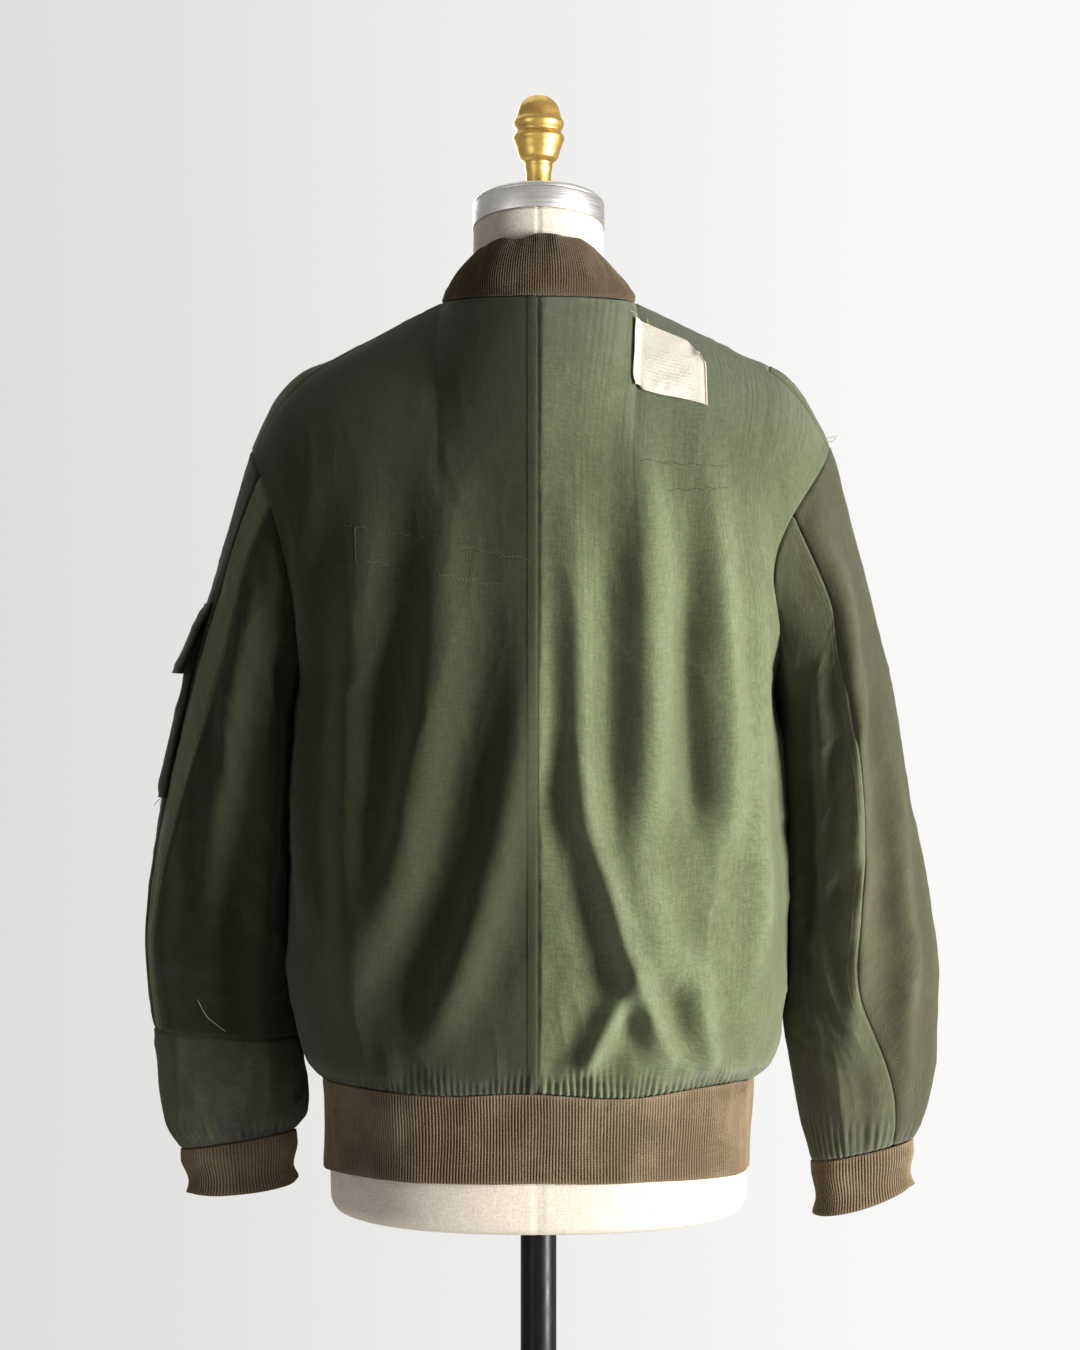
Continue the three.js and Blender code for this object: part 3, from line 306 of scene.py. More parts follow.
def shoulderPoint(hand, t, across):
    def bowed(value):
        return stacked(hand * (value("x") - value("edgeIn") * across ** 2), value("edgeY") * across,
                       value("z") - value("edgeDrop") * across ** 2)
    t = np.asarray(t, float)
    across = across + 0 * t
    point = bowed(lambda name: smoothValue(shoulder, t, name))
    start = bowed(lambda name: shoulder[name][0])
    end = bowed(lambda name: shoulder[name][-1])
    neck = neckPoint(90 - (90 - jacket["neckTurn"]) * across) * [hand, 1, 1]
    share = t[..., None]
    point = point + (sleeveForm(hand, across * jacket["stripAngle"], 0 * t) - end) * share
    return point + (neck - start) * (1 - share)


def topEdge(hand, face, u):
    share = jacket["neckShare"]
    turn = np.minimum(u / share, 1) * jacket["neckTurn"]
    neck = neckPoint(turn if face > 0 else 180 - turn) * [hand, 1, 1]
    strip = shoulderPoint(hand, np.clip((u - share) / (1 - share), 0, 1), face + 0 * u)
    return np.where((u > share)[..., None], strip, neck)


def hemLine(x):
    return 1.8 * np.cos(x / 24) + 1.2 * np.sin(x / 31)


# A quarter of the body: u runs from the middle to the side, w from the hem over the armpit at 1 to the shoulder at 2
def bodyForm(hand, face, u, w):
    u, w = np.broadcast_arrays(np.asarray(u, float), np.asarray(w, float))
    angle = u * 90 * degree
    reach = roundedReach(1, 1, jacket["square"], angle)
    z = mixed(jacket["hemZ"], jacket["armpitZ"], np.minimum(w, 1))
    depth = smoothValue(bodySections, z, "back" if face > 0 else "front")
    x = hand * smoothValue(bodySections, z, "side") * reach * np.sin(angle)
    lower = stacked(x, face * depth * reach * np.cos(angle), z + hemLine(x) * np.maximum(0, 1 - w * 6))
    rise = np.maximum(w - 1, 0)
    turn = 180 - (180 - jacket["stripAngle"]) * rise
    edge = sleeveForm(hand, face * turn, 0 * rise)
    rows = backMiddle if face > 0 else frontMiddle
    middle = stacked(0 * rise, smoothValue(rows, rise, "y"), smoothValue(rows, rise, "z"))
    arc = stacked(edge[..., 0] * reach * np.sin(angle),
                  mixed(edge[..., 1], middle[..., 1], reach * np.cos(angle)),
                  mixed(middle[..., 2], edge[..., 2], u * u))
    top = topEdge(hand, face, u)
    top = top + (middle - topEdge(hand, face, 0 * u)) * (1 - u)[..., None]
    top = top + (edge - topEdge(hand, face, 0 * u + 1)) * u[..., None]
    upper = mixed(arc, top, (rise ** 3)[..., None])
    return np.where((w <= 1)[..., None], lower, upper)


# The body's form with the bend under the arms rounded off
def smoothBody(hand, face, u, w):
    u, w = np.broadcast_arrays(np.asarray(u, float), np.asarray(w, float))
    reach = 0.09 * np.maximum(0, 1 - np.abs(w - 1) / 0.2) * (1 - fadeIn(u, 0.93, 1))
    spread = ((-1, 0.12), (-0.5, 0.23), (0, 0.3), (0.5, 0.23), (1, 0.12))
    return sum(bodyForm(hand, face, u, w + step * reach) * share for step, share in spread)


# How far out the body lies at a depth and height, and a sleeve's points kept clear of it
def pressedToBody(hand, points):
    y, z = points[..., 1], points[..., 2]
    level = np.clip(z, jacket["hemZ"], jacket["armpitZ"])
    depth = np.where(y > 0, smoothValue(bodySections, level, "back"), smoothValue(bodySections, level, "front"))
    narrow = np.maximum(0, 1 - (np.abs(y) / depth) ** jacket["square"]) ** (1 / jacket["square"])
    side = smoothValue(bodySections, level, "side") * narrow + 0.9
    side = np.where(z > jacket["armpitZ"] - 1, 0, side) * fadeIn(z, jacket["hemZ"] - 4, jacket["hemZ"] + 14)
    points[..., 0] = hand * np.maximum(hand * points[..., 0], side)
    return points


# Unit normals of a form that look away from points inside it
def wayOut(form, u, v, inside):
    step = 0.004
    across = form(u + step, v) - form(u - step, v)
    along = form(u, v + step) - form(u, v - step)
    out = np.cross(across, along)
    out /= np.linalg.norm(out, axis=-1, keepdims=True) + 1e-12
    away = form(u, v) - inside
    return out * np.where((out * away).sum(-1, keepdims=True) < 0, -1, 1)


# Smooth seeded noise from -1 to 1 over a plane
def planeNoise(x, y, seed):
    grid = np.random.RandomState(seed).uniform(-1, 1, (64, 64))
    i, j = np.floor(x).astype(int), np.floor(y).astype(int)
    a, b = x - i, y - j
    a, b = a * a * (3 - 2 * a), b * b * (3 - 2 * b)
    low = mixed(grid[i % 64, j % 64], grid[(i + 1) % 64, j % 64], a)
    high = mixed(grid[i % 64, (j + 1) % 64], grid[(i + 1) % 64, (j + 1) % 64], a)
    return mixed(low, high, b)


# Creased cloth: soft facets that meet at narrow ridges, longer along the second direction
def creases(x, y, wide, long, seed):
    bentX = x / wide + 0.6 * planeNoise(x / (wide * 2.1), y / (long * 1.3), seed + 7)
    bentY = y / long + 0.5 * planeNoise(x / (wide * 1.7), y / (long * 1.9), seed + 11)
    return 1 - 2 * np.abs(planeNoise(bentX, bentY, seed)) ** 0.75


def ridge(distance, sharp):
    soft = (1 - 0.7 * distance ** 2) * np.exp(-distance ** 2)
    reach = np.sqrt(distance ** 2 + 0.05) - 0.22
    keen = np.exp(-reach * 1.5) - 0.35 * np.exp(-(reach - 1.5) ** 2 * 1.6)
    return mixed(soft, keen, sharp)


def bodyFold(face, u, w, point):
    height = 0 * u
    x, z = point[..., 0], point[..., 2]
    for fold in backFolds if face > 0 else frontFolds:
        upper = z > fold["midZ"]
        share = np.where(upper, (z - fold["midZ"]) / (fold["topZ"] - fold["midZ"]),
                         (fold["midZ"] - z) / (fold["midZ"] - fold["lowZ"]))
        bend = (fold["topX"] + fold["lowX"]) / 2 - fold["midX"]
        lean = (fold["topX"] - fold["lowX"]) / 2
        signed = np.where(upper, share, -share)
        middle = fold["midX"] + lean * signed + bend * signed ** 2
        middle = middle + 3 * planeNoise(z / 110, 0 * z + fold["width"], 3)
        fade = np.where(upper, 1 - fadeIn(share, 0.05, 1), 1 - fadeIn(share, 0.55, 1))
        height = height + fold["height"] * fade * ridge((x - middle) / fold["width"], fold["sharp"])
    side = 1 - fadeIn(u, 0.82, 0.98)
    nearZip = 1 if face > 0 else fadeIn(np.abs(x), 8, 45)
    return height * side * nearZip * fadeIn(w, 0, 0.1) * (1 - fadeIn(w, 1.7, 1.95))


def sleeveFold(hand, angle, s):
    height = 0 * angle
    for fold in leftSleeveFolds if hand > 0 else rightSleeveFolds:
        share = (s - fold["startS"]) / (fold["endS"] - fold["startS"])
        middle = mixed(fold["startAngle"], fold["endAngle"], share) + 3 * planeNoise(s * 14, 0 * s + fold["width"], 5)
        fade = np.sin(np.pi * np.clip(share, 0, 1)) ** 0.7
        height = height + fold["height"] * fade * ridge((angle - middle) / fold["width"], fold["sharp"])
    return height * (1 - fadeIn(np.abs(angle), 140, 170)) * (1 - fadeIn(s, 0.95, 1))


print("stage: shapes are ready")

millimetre = 0.001


# Faces is an array of quads, and corners holds the cloth coordinates of each face's corners in metres
def meshPiece(name, vertices, faces, corners, values, paint):
    faces = np.asarray(faces, int)
    mesh = bpy.data.meshes.new(name)
    mesh.vertices.add(len(vertices))
    mesh.vertices.foreach_set("co", (np.asarray(vertices, float) * millimetre).ravel())
    mesh.loops.add(faces.size)
    mesh.loops.foreach_set("vertex_index", faces.ravel())
    mesh.polygons.add(len(faces))
    mesh.polygons.foreach_set("loop_start", np.arange(len(faces)) * faces.shape[1])
    mesh.polygons.foreach_set("use_smooth", np.full(len(faces), True))
    layer = mesh.uv_layers.new(name="cloth")
    layer.uv.foreach_set("vector", np.asarray(corners, np.float32).ravel())
    for key, value in values.items():
        attribute = mesh.attributes.new(key, "FLOAT", "POINT")
        attribute.data.foreach_set("value", np.asarray(value, np.float32).ravel())
    mesh.update(calc_edges=True)
    mesh.validate()
    mesh.materials.append(paint)
    return linked(name, mesh)


def gridFaces(rows, cols, closed=False, rowsClosed=False):
    r = np.arange(rows if rowsClosed else rows - 1)
    c = np.arange(cols if closed else cols - 1)
    r, c = np.meshgrid(r, c, indexing="ij")
    nextR, nextC = (r + 1) % rows, (c + 1) % cols
    quads = np.stack([r * cols + c, r * cols + nextC, nextR * cols + nextC, nextR * cols + c], -1)
    return quads.reshape(-1, 4), (r.ravel(), c.ravel())


# True if most faces look along "out", which has a row per vertex
def facing(vertices, faces, out):
    a, b, c, d = (vertices[faces[:, k]] for k in range(4))
    normal = np.cross(c - a, d - b)
    return (normal * out[faces[:, 0]]).sum() > 0


def clothCorners(points, rows, cols, closed, where):
    across = np.linalg.norm(np.diff(points, axis=1), axis=-1)
    along = np.linalg.norm(np.diff(points, axis=0), axis=-1)
    u = np.concatenate([np.zeros((rows, 1)), np.cumsum(across, 1)], 1)
    v = np.concatenate([np.zeros((1, cols)), np.cumsum(along, 0)], 0)
    if closed:
        last = u[:, -1:] + np.linalg.norm(points[:, 0] - points[:, -1], axis=-1)[:, None]
        u, v = np.concatenate([u, last], 1), np.concatenate([v, v[:, :1]], 1)
    r, c = where
    nextR = np.minimum(r + 1, rows - 1)
    picked = [(r, c), (r, c + 1), (nextR, c + 1), (nextR, c)]
    return np.stack([np.stack([u[i, j], v[i, j]], -1) for i, j in picked], 1) * millimetre


# A sheet of cloth on a grid, with its edges turned in all round as a seam allowance
def sheetPiece(name, points, out, paint, values, thickness=1.8, allowance=9, closed=False):
    def padded(grid, axis, shifted=None):
        count = grid.shape[axis]
        steps = np.linalg.norm(np.diff(points.mean(1 - axis), axis=0), axis=-1).cumsum()
        k = int(min(np.searchsorted(steps, allowance) + 1, count // 3))
        first, last = np.take(grid, [k, 0], axis), np.take(grid, [count - 1, count - 1 - k], axis)
        if shifted is not None:
            first = first - np.take(shifted, [k, 0], axis) * thickness
            last = last - np.take(shifted, [count - 1, count - 1 - k], axis) * thickness
        return np.concatenate([first, grid, last], axis)
    outPadded = out
    for axis in ((0,) if closed else (0, 1)):
        points, outPadded = padded(points, axis, outPadded), padded(outPadded, axis)
        values = {key: padded(value, axis) for key, value in values.items()}
    rows, cols = points.shape[:2]
    quads, where = gridFaces(rows, cols, closed)
    corners = clothCorners(points, rows, cols, closed, where)
    flat = points.reshape(-1, 3)
    middle = (where[0] > 3) & (where[0] < rows - 4) & (where[1] > 3) & (where[1] < cols - 4)
    if not facing(flat, quads[middle], outPadded.reshape(-1, 3)):
        quads, corners = quads[:, ::-1], corners[:, ::-1]
    return meshPiece(name, flat, quads, corners, values, paint)


# A wall on a grid: outer face, inner face and rims in one closed skin
def wallPiece(name, points, out, paint, values, thickness, closed=False):
    inner = (points - out * thickness)[::-1]
    grid = np.concatenate([points, inner], 0)
    ways = np.concatenate([out, -out[::-1]], 0)
    values = {key: np.concatenate([value, value[::-1]], 0) for key, value in values.items()}
    rows, cols = grid.shape[:2]
    quads, where = gridFaces(rows, cols, closed, True)
    corners = clothCorners(grid, rows, cols, closed, where)
    flat = grid.reshape(-1, 3)
    if not closed:
        half = rows // 2
        r = np.arange(half - 1)
        ends = []
        for c, turn in ((0, 1), (cols - 1, -1)):
            cap = [row * cols + c for row in (r, r + 1, rows - 2 - r, rows - 1 - r)]
            ends.append(np.stack(cap, -1)[:, ::turn])
        quads = np.concatenate([quads] + ends)
        corners = np.concatenate([corners, np.zeros((len(quads) - len(corners), 4, 2))])
    if not facing(flat, quads[:len(where[0])], ways.reshape(-1, 3)):
        quads, corners = quads[:, ::-1], corners[:, ::-1]
    return meshPiece(name, flat, quads, corners, values, paint)


# Places from 0 to 1 along a length, close together near the seams at its ends
def seamedPlaces(length, count):
    low = np.array([0, 0.7, 1.5, 2.4, 3.6, 5.2]) / length
    high = 1 - low[::-1]
    return np.concatenate([low, np.linspace(low[-1], high[0], count + 2)[1:-1], high])


def normalsOf(points, out):
    across = np.gradient(points, axis=1)
    along = np.gradient(points, axis=0)
    normal = np.cross(across, along)
    normal /= np.linalg.norm(normal, axis=-1, keepdims=True) + 1e-9
    return normal * np.where((normal * out).sum(-1, keepdims=True) < 0, -1, 1)


# How far each grid point is from the four edges, in millimetres along the grid
def edgeReach(points):
    across = np.linalg.norm(np.diff(points, axis=1), axis=-1)
    along = np.linalg.norm(np.diff(points, axis=0), axis=-1)
    left = np.concatenate([np.zeros((len(points), 1)), across.cumsum(1)], 1)
    low = np.concatenate([np.zeros((1, points.shape[1])), along.cumsum(0)], 0)
    return left, left[:, -1:] - left, low, low[-1:] - low


def nearest(left, right, low, high):
    return np.minimum(np.minimum(left, right), np.minimum(low, high))


seam = {"dip": 1.3, "dipReach": 1.7, "pucker": 0.55, "puckerPitch": 8.5, "puckerReach": 9.0, "ease": 1.02}


# The sewn look of a panel's edge: a groove at the seam, and small puckers beside it
def sewnEdge(distance, along, seed):
    groove = -seam["dip"] * np.exp(-(distance / seam["dipReach"]) ** 2)
    wave = planeNoise(along / seam["puckerPitch"], distance / 14, seed)
    ripple = seam["pucker"] * wave * np.exp(-distance / seam["puckerReach"]) * fadeIn(distance, 0.5, 3)
    return groove + ripple


# Puts every cloth piece on the body in place of its part, with its flat size measured along its grid
def finishCloth(piece, node, points, closed=False):
    across = np.linalg.norm(np.diff(points, axis=1), axis=-1).sum(1).max()
    if closed:
        across += np.linalg.norm(points[:, 0] - points[:, -1], axis=-1).max()
    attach(piece, body)
    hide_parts(node)


print("stage: mesh tools are ready")

grey = (0.5, 0.5, 0.5, 1)
looks = [("Color", "Color"), ("Roughness", "Float"), ("Height", "Float")]  # what every group of nodes gives


def newGroup(name, inputs):
    tree = bpy.data.node_groups.new(name, "ShaderNodeTree")
    for label, kind, value in inputs:
        socket = tree.interface.new_socket(name=label, in_out="INPUT", socket_type="NodeSocket" + kind)
        socket.default_value = value
    for label, kind in looks:
        tree.interface.new_socket(name=label, in_out="OUTPUT", socket_type="NodeSocket" + kind)
    return tree, tree.nodes.new("NodeGroupInput").outputs, tree.nodes.new("NodeGroupOutput").inputs


def mixColours(tree, factor, first, second, blend="MIX"):
    node = addNode(tree, "ShaderNodeMix", data_type="RGBA", blend_type=blend)
    for index, value in ((0, factor), (6, first), (7, second)):
        if isinstance(value, bpy.types.NodeSocket):
            tree.links.new(value, node.inputs[index])
        else:
            node.inputs[index].default_value = value
    return node.outputs[2]


def ranged(tree, value, low, high, toLow=0.0, toHigh=1.0):
    return addNode(tree, "ShaderNodeMapRange", {"Value": value, "From Min": low, "From Max": high,
                   "To Min": toLow, "To Max": toHigh}, interpolation_type="SMOOTHSTEP").outputs[0]


def noise(tree, place, scale, detail, **more):
    return addNode(tree, "ShaderNodeTexNoise", {"Vector": place, "Scale": scale, "Detail": detail, **more}).outputs[0]


def clothPlace(tree):
    return addNode(tree, "ShaderNodeUVMap", uv_map="cloth").outputs[0]


def clothNoise(tree, across, along, detail):
    place = addNode(tree, "ShaderNodeMapping", {"Vector": clothPlace(tree), "Scale": (across, along, 1)}).outputs[0]
    return noise(tree, place, 1.0, detail)


def wave(tree, turns):
    return maths(tree, "SINE", times(tree, turns, 2 * math.pi))


def pointValue(tree, name):
    return addNode(tree, "ShaderNodeAttribute", attribute_name=name).outputs["Fac"]


def tinted(tree, colour, shade):
    tint = addNode(tree, "ShaderNodeCombineXYZ", {0: shade, 1: shade, 2: shade}).outputs[0]
    return mixColours(tree, 1.0, colour, tint, "MULTIPLY")


def buildWovenCloth():
    tree, given, result = newGroup("wovenCloth", [
        ("Cloth", "Color", grey), ("Worn", "Color", grey), ("Hollow Shade", "Color", grey), ("Stain", "Color", grey),
        ("Yarns per metre", "Float", 1500.0), ("Wear", "Float", 0.5), ("Mottle", "Float", 0.4),
        ("Streaks", "Float", 0.3), ("Slubs", "Float", 1.0), ("Stains", "Float", 0.0), ("Roughness", "Float", 0.85)])
    place = clothPlace(tree)
    split = addNode(tree, "ShaderNodeSeparateXYZ", {0: place})
    warp = times(tree, split.outputs[0], given["Yarns per metre"])
    weft = times(tree, split.outputs[1], given["Yarns per metre"])
    drift = noise(tree, place, 46.0, 3.0)
    diagonal = wave(tree, plus(tree, plus(tree, warp, weft), times(tree, drift, 5.0)))
    cross = wave(tree, plus(tree, times(tree, weft, 2.0), times(tree, drift, 9.0)))
    where = addNode(tree, "ShaderNodeTexCoord").outputs["Object"]
    fine = noise(tree, where, 820.0, 2.0)
    broad = noise(tree, where, 11.0, 5.0, Roughness=0.6)
    patches = noise(tree, where, 34.0, 4.0, Roughness=0.65)
    streak = clothNoise(tree, 420, 26, 3.0)
    relief, edge = pointValue(tree, "relief"), pointValue(tree, "edge")
    rubbed = times(tree, ranged(tree, relief, -0.1, 1.0), given["Wear"])
    frayed = times(tree, times(tree, edge, ranged(tree, patches, 0.4, 0.65)), given["Wear"])
    cloudy = times(tree, ranged(tree, broad, 0.42, 0.7), given["Mottle"])
    lines = times(tree, ranged(tree, streak, 0.4, 0.68), given["Streaks"])
    light = addNode(tree, "ShaderNodeMath", {0: plus(tree, rubbed, frayed),
                    1: plus(tree, cloudy, lines)}, operation="ADD", use_clamp=True).outputs[0]
    colour = mixColours(tree, light, given["Cloth"], given["Worn"])
    # Painted shade: the cloth takes its darker hollow colour where the relief sinks, in the troughs of folds, creases
    # and seam grooves
    hollowShade = times(tree, ranged(tree, relief, -0.1, -1.0), 0.75)
    colour = mixColours(tree, hollowShade, colour, given["Hollow Shade"])
    spots = times(tree, ranged(tree, times(tree, broad, patches), 0.25, 0.36), given["Stains"])
    colour = mixColours(tree, spots, colour, given["Stain"])
    slubs = clothNoise(tree, 640, 90, 1.0), clothNoise(tree, 80, 560, 1.0)
    slub = times(tree, given["Slubs"], ranged(tree, plus(tree, *slubs), 0.7, 1.3, -0.14, 0.13))
    yarn = ranged(tree, plus(tree, times(tree, diagonal, 0.25), fine), 0.15, 0.85, 0.76, 1.2)
    yarn = times(tree, yarn, plus(tree, slub, 1.0))
    tree.links.new(tinted(tree, colour, yarn), result["Color"])
    tree.links.new(plus(tree, given["Roughness"], ranged(tree, fine, 0.3, 0.7, -0.05, 0.05)),
                   result["Roughness"])
    weave = plus(tree, times(tree, diagonal, 0.32), times(tree, cross, 0.14))
    tree.links.new(plus(tree, weave, times(tree, fine, 2.2)), result["Height"])
    return tree


def buildRibKnit():
    tree, given, result = newGroup("ribKnit", [
        ("Ridge", "Color", grey), ("Furrow Shade", "Color", grey), ("Pilled", "Color", grey),
        ("Loops per metre", "Float", 620.0), ("Pilling", "Float", 0.4)])
    split = addNode(tree, "ShaderNodeSeparateXYZ", {0: clothPlace(tree)})
    loop = wave(tree, times(tree, split.outputs[1], given["Loops per metre"]))
    where = addNode(tree, "ShaderNodeTexCoord").outputs["Object"]
    fuzz, broad = noise(tree, where, 950.0, 3.0), noise(tree, where, 22.0, 4.0)
    relief = pointValue(tree, "relief")
    # Painted shade: the rib knit's furrows take a darker colour than its ridges, though both are the same yarn
    colour = mixColours(tree, ranged(tree, relief, -0.9, 0.5), given["Furrow Shade"], given["Ridge"])
    pills = times(tree, ranged(tree, plus(tree, broad, times(tree, fuzz, 0.5)), 0.7, 0.9), given["Pilling"])
    colour = mixColours(tree, pills, colour, given["Pilled"])
    shade = ranged(tree, plus(tree, times(tree, loop, 0.35), fuzz), 0.1, 0.95, 0.78, 1.12)
    tree.links.new(tinted(tree, colour, shade), result["Color"])
    tree.links.new(ranged(tree, fuzz, 0.2, 0.8, 0.88, 1.0), result["Roughness"])
    tree.links.new(plus(tree, times(tree, loop, 0.4), times(tree, fuzz, 1.2)),
                   result["Height"])
    return tree


def buildWornMetal():
    tree, given, result = newGroup("wornMetal", [
        ("Metal", "Color", grey), ("Tarnish", "Color", grey), ("Brush", "Vector", (1.0, 1.0, 1.0)),
        ("Tarnish Amount", "Float", 0.3), ("Smooth", "Float", 0.25), ("Rough", "Float", 0.5)])
    where = addNode(tree, "ShaderNodeTexCoord").outputs["Object"]
    along = addNode(tree, "ShaderNodeVectorMath", {0: where, 1: given["Brush"]}, operation="MULTIPLY").outputs[0]
    lines, spots = noise(tree, along, 1.0, 3.0), noise(tree, where, 60.0, 5.0)
    dull = times(tree, ranged(tree, spots, 0.45, 0.7), given["Tarnish Amount"])
    tree.links.new(mixColours(tree, dull, given["Metal"], given["Tarnish"]), result["Color"])
    polish = addNode(tree, "ShaderNodeMapRange", {
        "Value": plus(tree, lines, times(tree, dull, 0.5)), "From Min": 0.25, "From Max": 0.85,
        "To Min": given["Smooth"], "To Max": given["Rough"]}).outputs[0]
    tree.links.new(polish, result["Roughness"])
    tree.links.new(lines, result["Height"])
    return tree


def groupMaterial(name, group, values, bump, sheen=0.0, metallic=0.0):
    paint = bpy.data.materials.new(name)
    paint.use_nodes = True
    tree = paint.node_tree
    shader = tree.nodes["Principled BSDF"]
    shader.inputs["Metallic"].default_value = metallic
    shader.inputs["Sheen Weight"].default_value = sheen
    shader.inputs["Sheen Roughness"].default_value = 0.5
    if metallic == 0:  # cloth and enamel shine less than plastic does
        shader.inputs["Specular IOR Level"].default_value = 0.28
    made = addNode(tree, "ShaderNodeGroup", node_tree=group)
    for key, value in values.items():
        made.inputs[key].default_value = value
    tree.links.new(made.outputs["Color"], shader.inputs["Base Color"])
    tree.links.new(made.outputs["Roughness"], shader.inputs["Roughness"])
    relief = addNode(tree, "ShaderNodeBump", {"Height": made.outputs["Height"], "Distance": bump, "Strength": 0.7})
    tree.links.new(relief.outputs[0], shader.inputs["Normal"])
    return paint


# A colour as eight-bit sRGB, made linear
def tone(red, green, blue):
    parts = [c / 255 for c in (red, green, blue)]
    return tuple(c / 12.92 if c < 0.04045 else ((c + 0.055) / 1.055) ** 2.4 for c in parts) + (1.0,)


wovenCloth, ribKnit, wornMetal = buildWovenCloth(), buildRibKnit(), buildWornMetal()

clothLooks = {
    "darkOlive": {"Cloth": tone(61, 65, 42), "Worn": tone(72, 76, 51), "Hollow Shade": tone(56, 59, 37),
                  "Stain": tone(64, 62, 44), "Wear": 0.5, "Mottle": 0.3, "Streaks": 0.06, "Stains": 0.15},
    "sage": {"Cloth": tone(102, 109, 79), "Worn": tone(126, 134, 102), "Hollow Shade": tone(86, 92, 64),
             "Stain": tone(104, 104, 76), "Wear": 0.55, "Mottle": 0.35, "Streaks": 0.05, "Stains": 0.2},
    "greyOlive": {"Cloth": tone(112, 114, 88), "Worn": tone(122, 124, 99), "Hollow Shade": tone(90, 92, 68),
                  "Stain": tone(80, 76, 58), "Wear": 0.6, "Mottle": 0.35, "Streaks": 0.08, "Stains": 0.2},
    "shoulderSage": {"Cloth": tone(104, 108, 82), "Worn": tone(132, 136, 110), "Hollow Shade": tone(88, 91, 66),
                     "Stain": tone(96, 92, 70), "Wear": 0.6, "Mottle": 0.35, "Streaks": 0.08, "Stains": 0.2},
    "shoulderPatch": {"Cloth": tone(92, 96, 64), "Worn": tone(116, 119, 86), "Hollow Shade": tone(74, 77, 50),
                      "Stain": tone(84, 80, 56), "Wear": 0.6, "Mottle": 0.3, "Streaks": 0.08, "Stains": 0.2},
    "leftBackSleeve": {"Cloth": tone(48, 50, 31), "Worn": tone(58, 60, 40), "Hollow Shade": tone(46, 47, 29),
                       "Stain": tone(60, 57, 42), "Wear": 0.6, "Mottle": 0.3, "Streaks": 0.06, "Stains": 0.2},
    "forearm": {"Cloth": tone(74, 75, 54), "Worn": tone(98, 98, 76), "Hollow Shade": tone(56, 56, 40),
                "Stain": tone(60, 66, 70), "Wear": 0.75, "Mottle": 0.6, "Streaks": 0.1, "Stains": 0.75},
    "rightSleeve": {"Cloth": tone(84, 87, 62), "Worn": tone(106, 109, 82), "Hollow Shade": tone(70, 72, 50),
                    "Stain": tone(86, 80, 60), "Wear": 0.6, "Mottle": 0.4, "Streaks": 0.08, "Stains": 0.4},
    "rightFrontSleeve": {"Cloth": tone(72, 72, 51), "Worn": tone(90, 90, 67), "Hollow Shade": tone(64, 63, 44),
                         "Stain": tone(82, 76, 56), "Wear": 0.6, "Mottle": 0.4, "Streaks": 0.08, "Stains": 0.4},
}
clothPaint = {name: groupMaterial(name, wovenCloth, {**look, "Yarns per metre": 2100.0, "Roughness": 0.86},
                                  0.00026, sheen=0.22) for name, look in clothLooks.items()}
canvasPaint = groupMaterial("formCanvas", wovenCloth, {
    "Cloth": tone(232, 220, 204), "Worn": tone(240, 231, 218), "Hollow Shade": tone(208, 194, 176),
    "Stain": tone(222, 206, 184), "Yarns per metre": 2000.0, "Wear": 0.3, "Mottle": 0.3, "Streaks": 0.05,
    "Slubs": 0.4, "Stains": 0.25, "Roughness": 0.9}, 0.00017, sheen=0.1)
labelPaint = groupMaterial("labelTape", wovenCloth, {
    "Cloth": tone(238, 231, 216), "Worn": tone(243, 238, 226), "Hollow Shade": tone(224, 214, 196),
    "Stain": tone(214, 198, 168), "Yarns per metre": 2600.0, "Wear": 0.1, "Mottle": 0.15, "Streaks": 0.05,
    "Slubs": 0.15, "Stains": 0.12, "Roughness": 0.8}, 0.00012, sheen=0.1)


# Faint ruled dashes on the label's face
def addRules(paint):
    tree = paint.node_tree
    shader, made = tree.nodes["Principled BSDF"], next(n for n in tree.nodes if n.type == "GROUP")
    split = addNode(tree, "ShaderNodeSeparateXYZ", {0: clothPlace(tree)})
    row = times(tree, split.outputs[1], 1 / 0.0042)
    words = addNode(tree, "ShaderNodeCombineXYZ", {0: times(tree, split.outputs[0], 420.0),
                    1: times(tree, maths(tree, "FLOOR", row), 7.3)}).outputs[0]
    dashes = ranged(tree, noise(tree, words, 1.0, 0.0), 0.4, 0.5, 0.0, 0.3)
    mask = times(tree, maths(tree, "LESS_THAN", maths(tree, "FRACT", row), 0.3), dashes)
    for axis, low, high in ((0, 0.008, 0.054), (1, 0.01, 0.056)):
        inside = times(tree, ranged(tree, split.outputs[axis], low, low + 0.003),
                       ranged(tree, split.outputs[axis], high, high - 0.003))
        mask = times(tree, mask, inside)
    ink = mixColours(tree, mask, made.outputs["Color"], tone(150, 128, 96))
    tree.links.new(ink, shader.inputs["Base Color"])


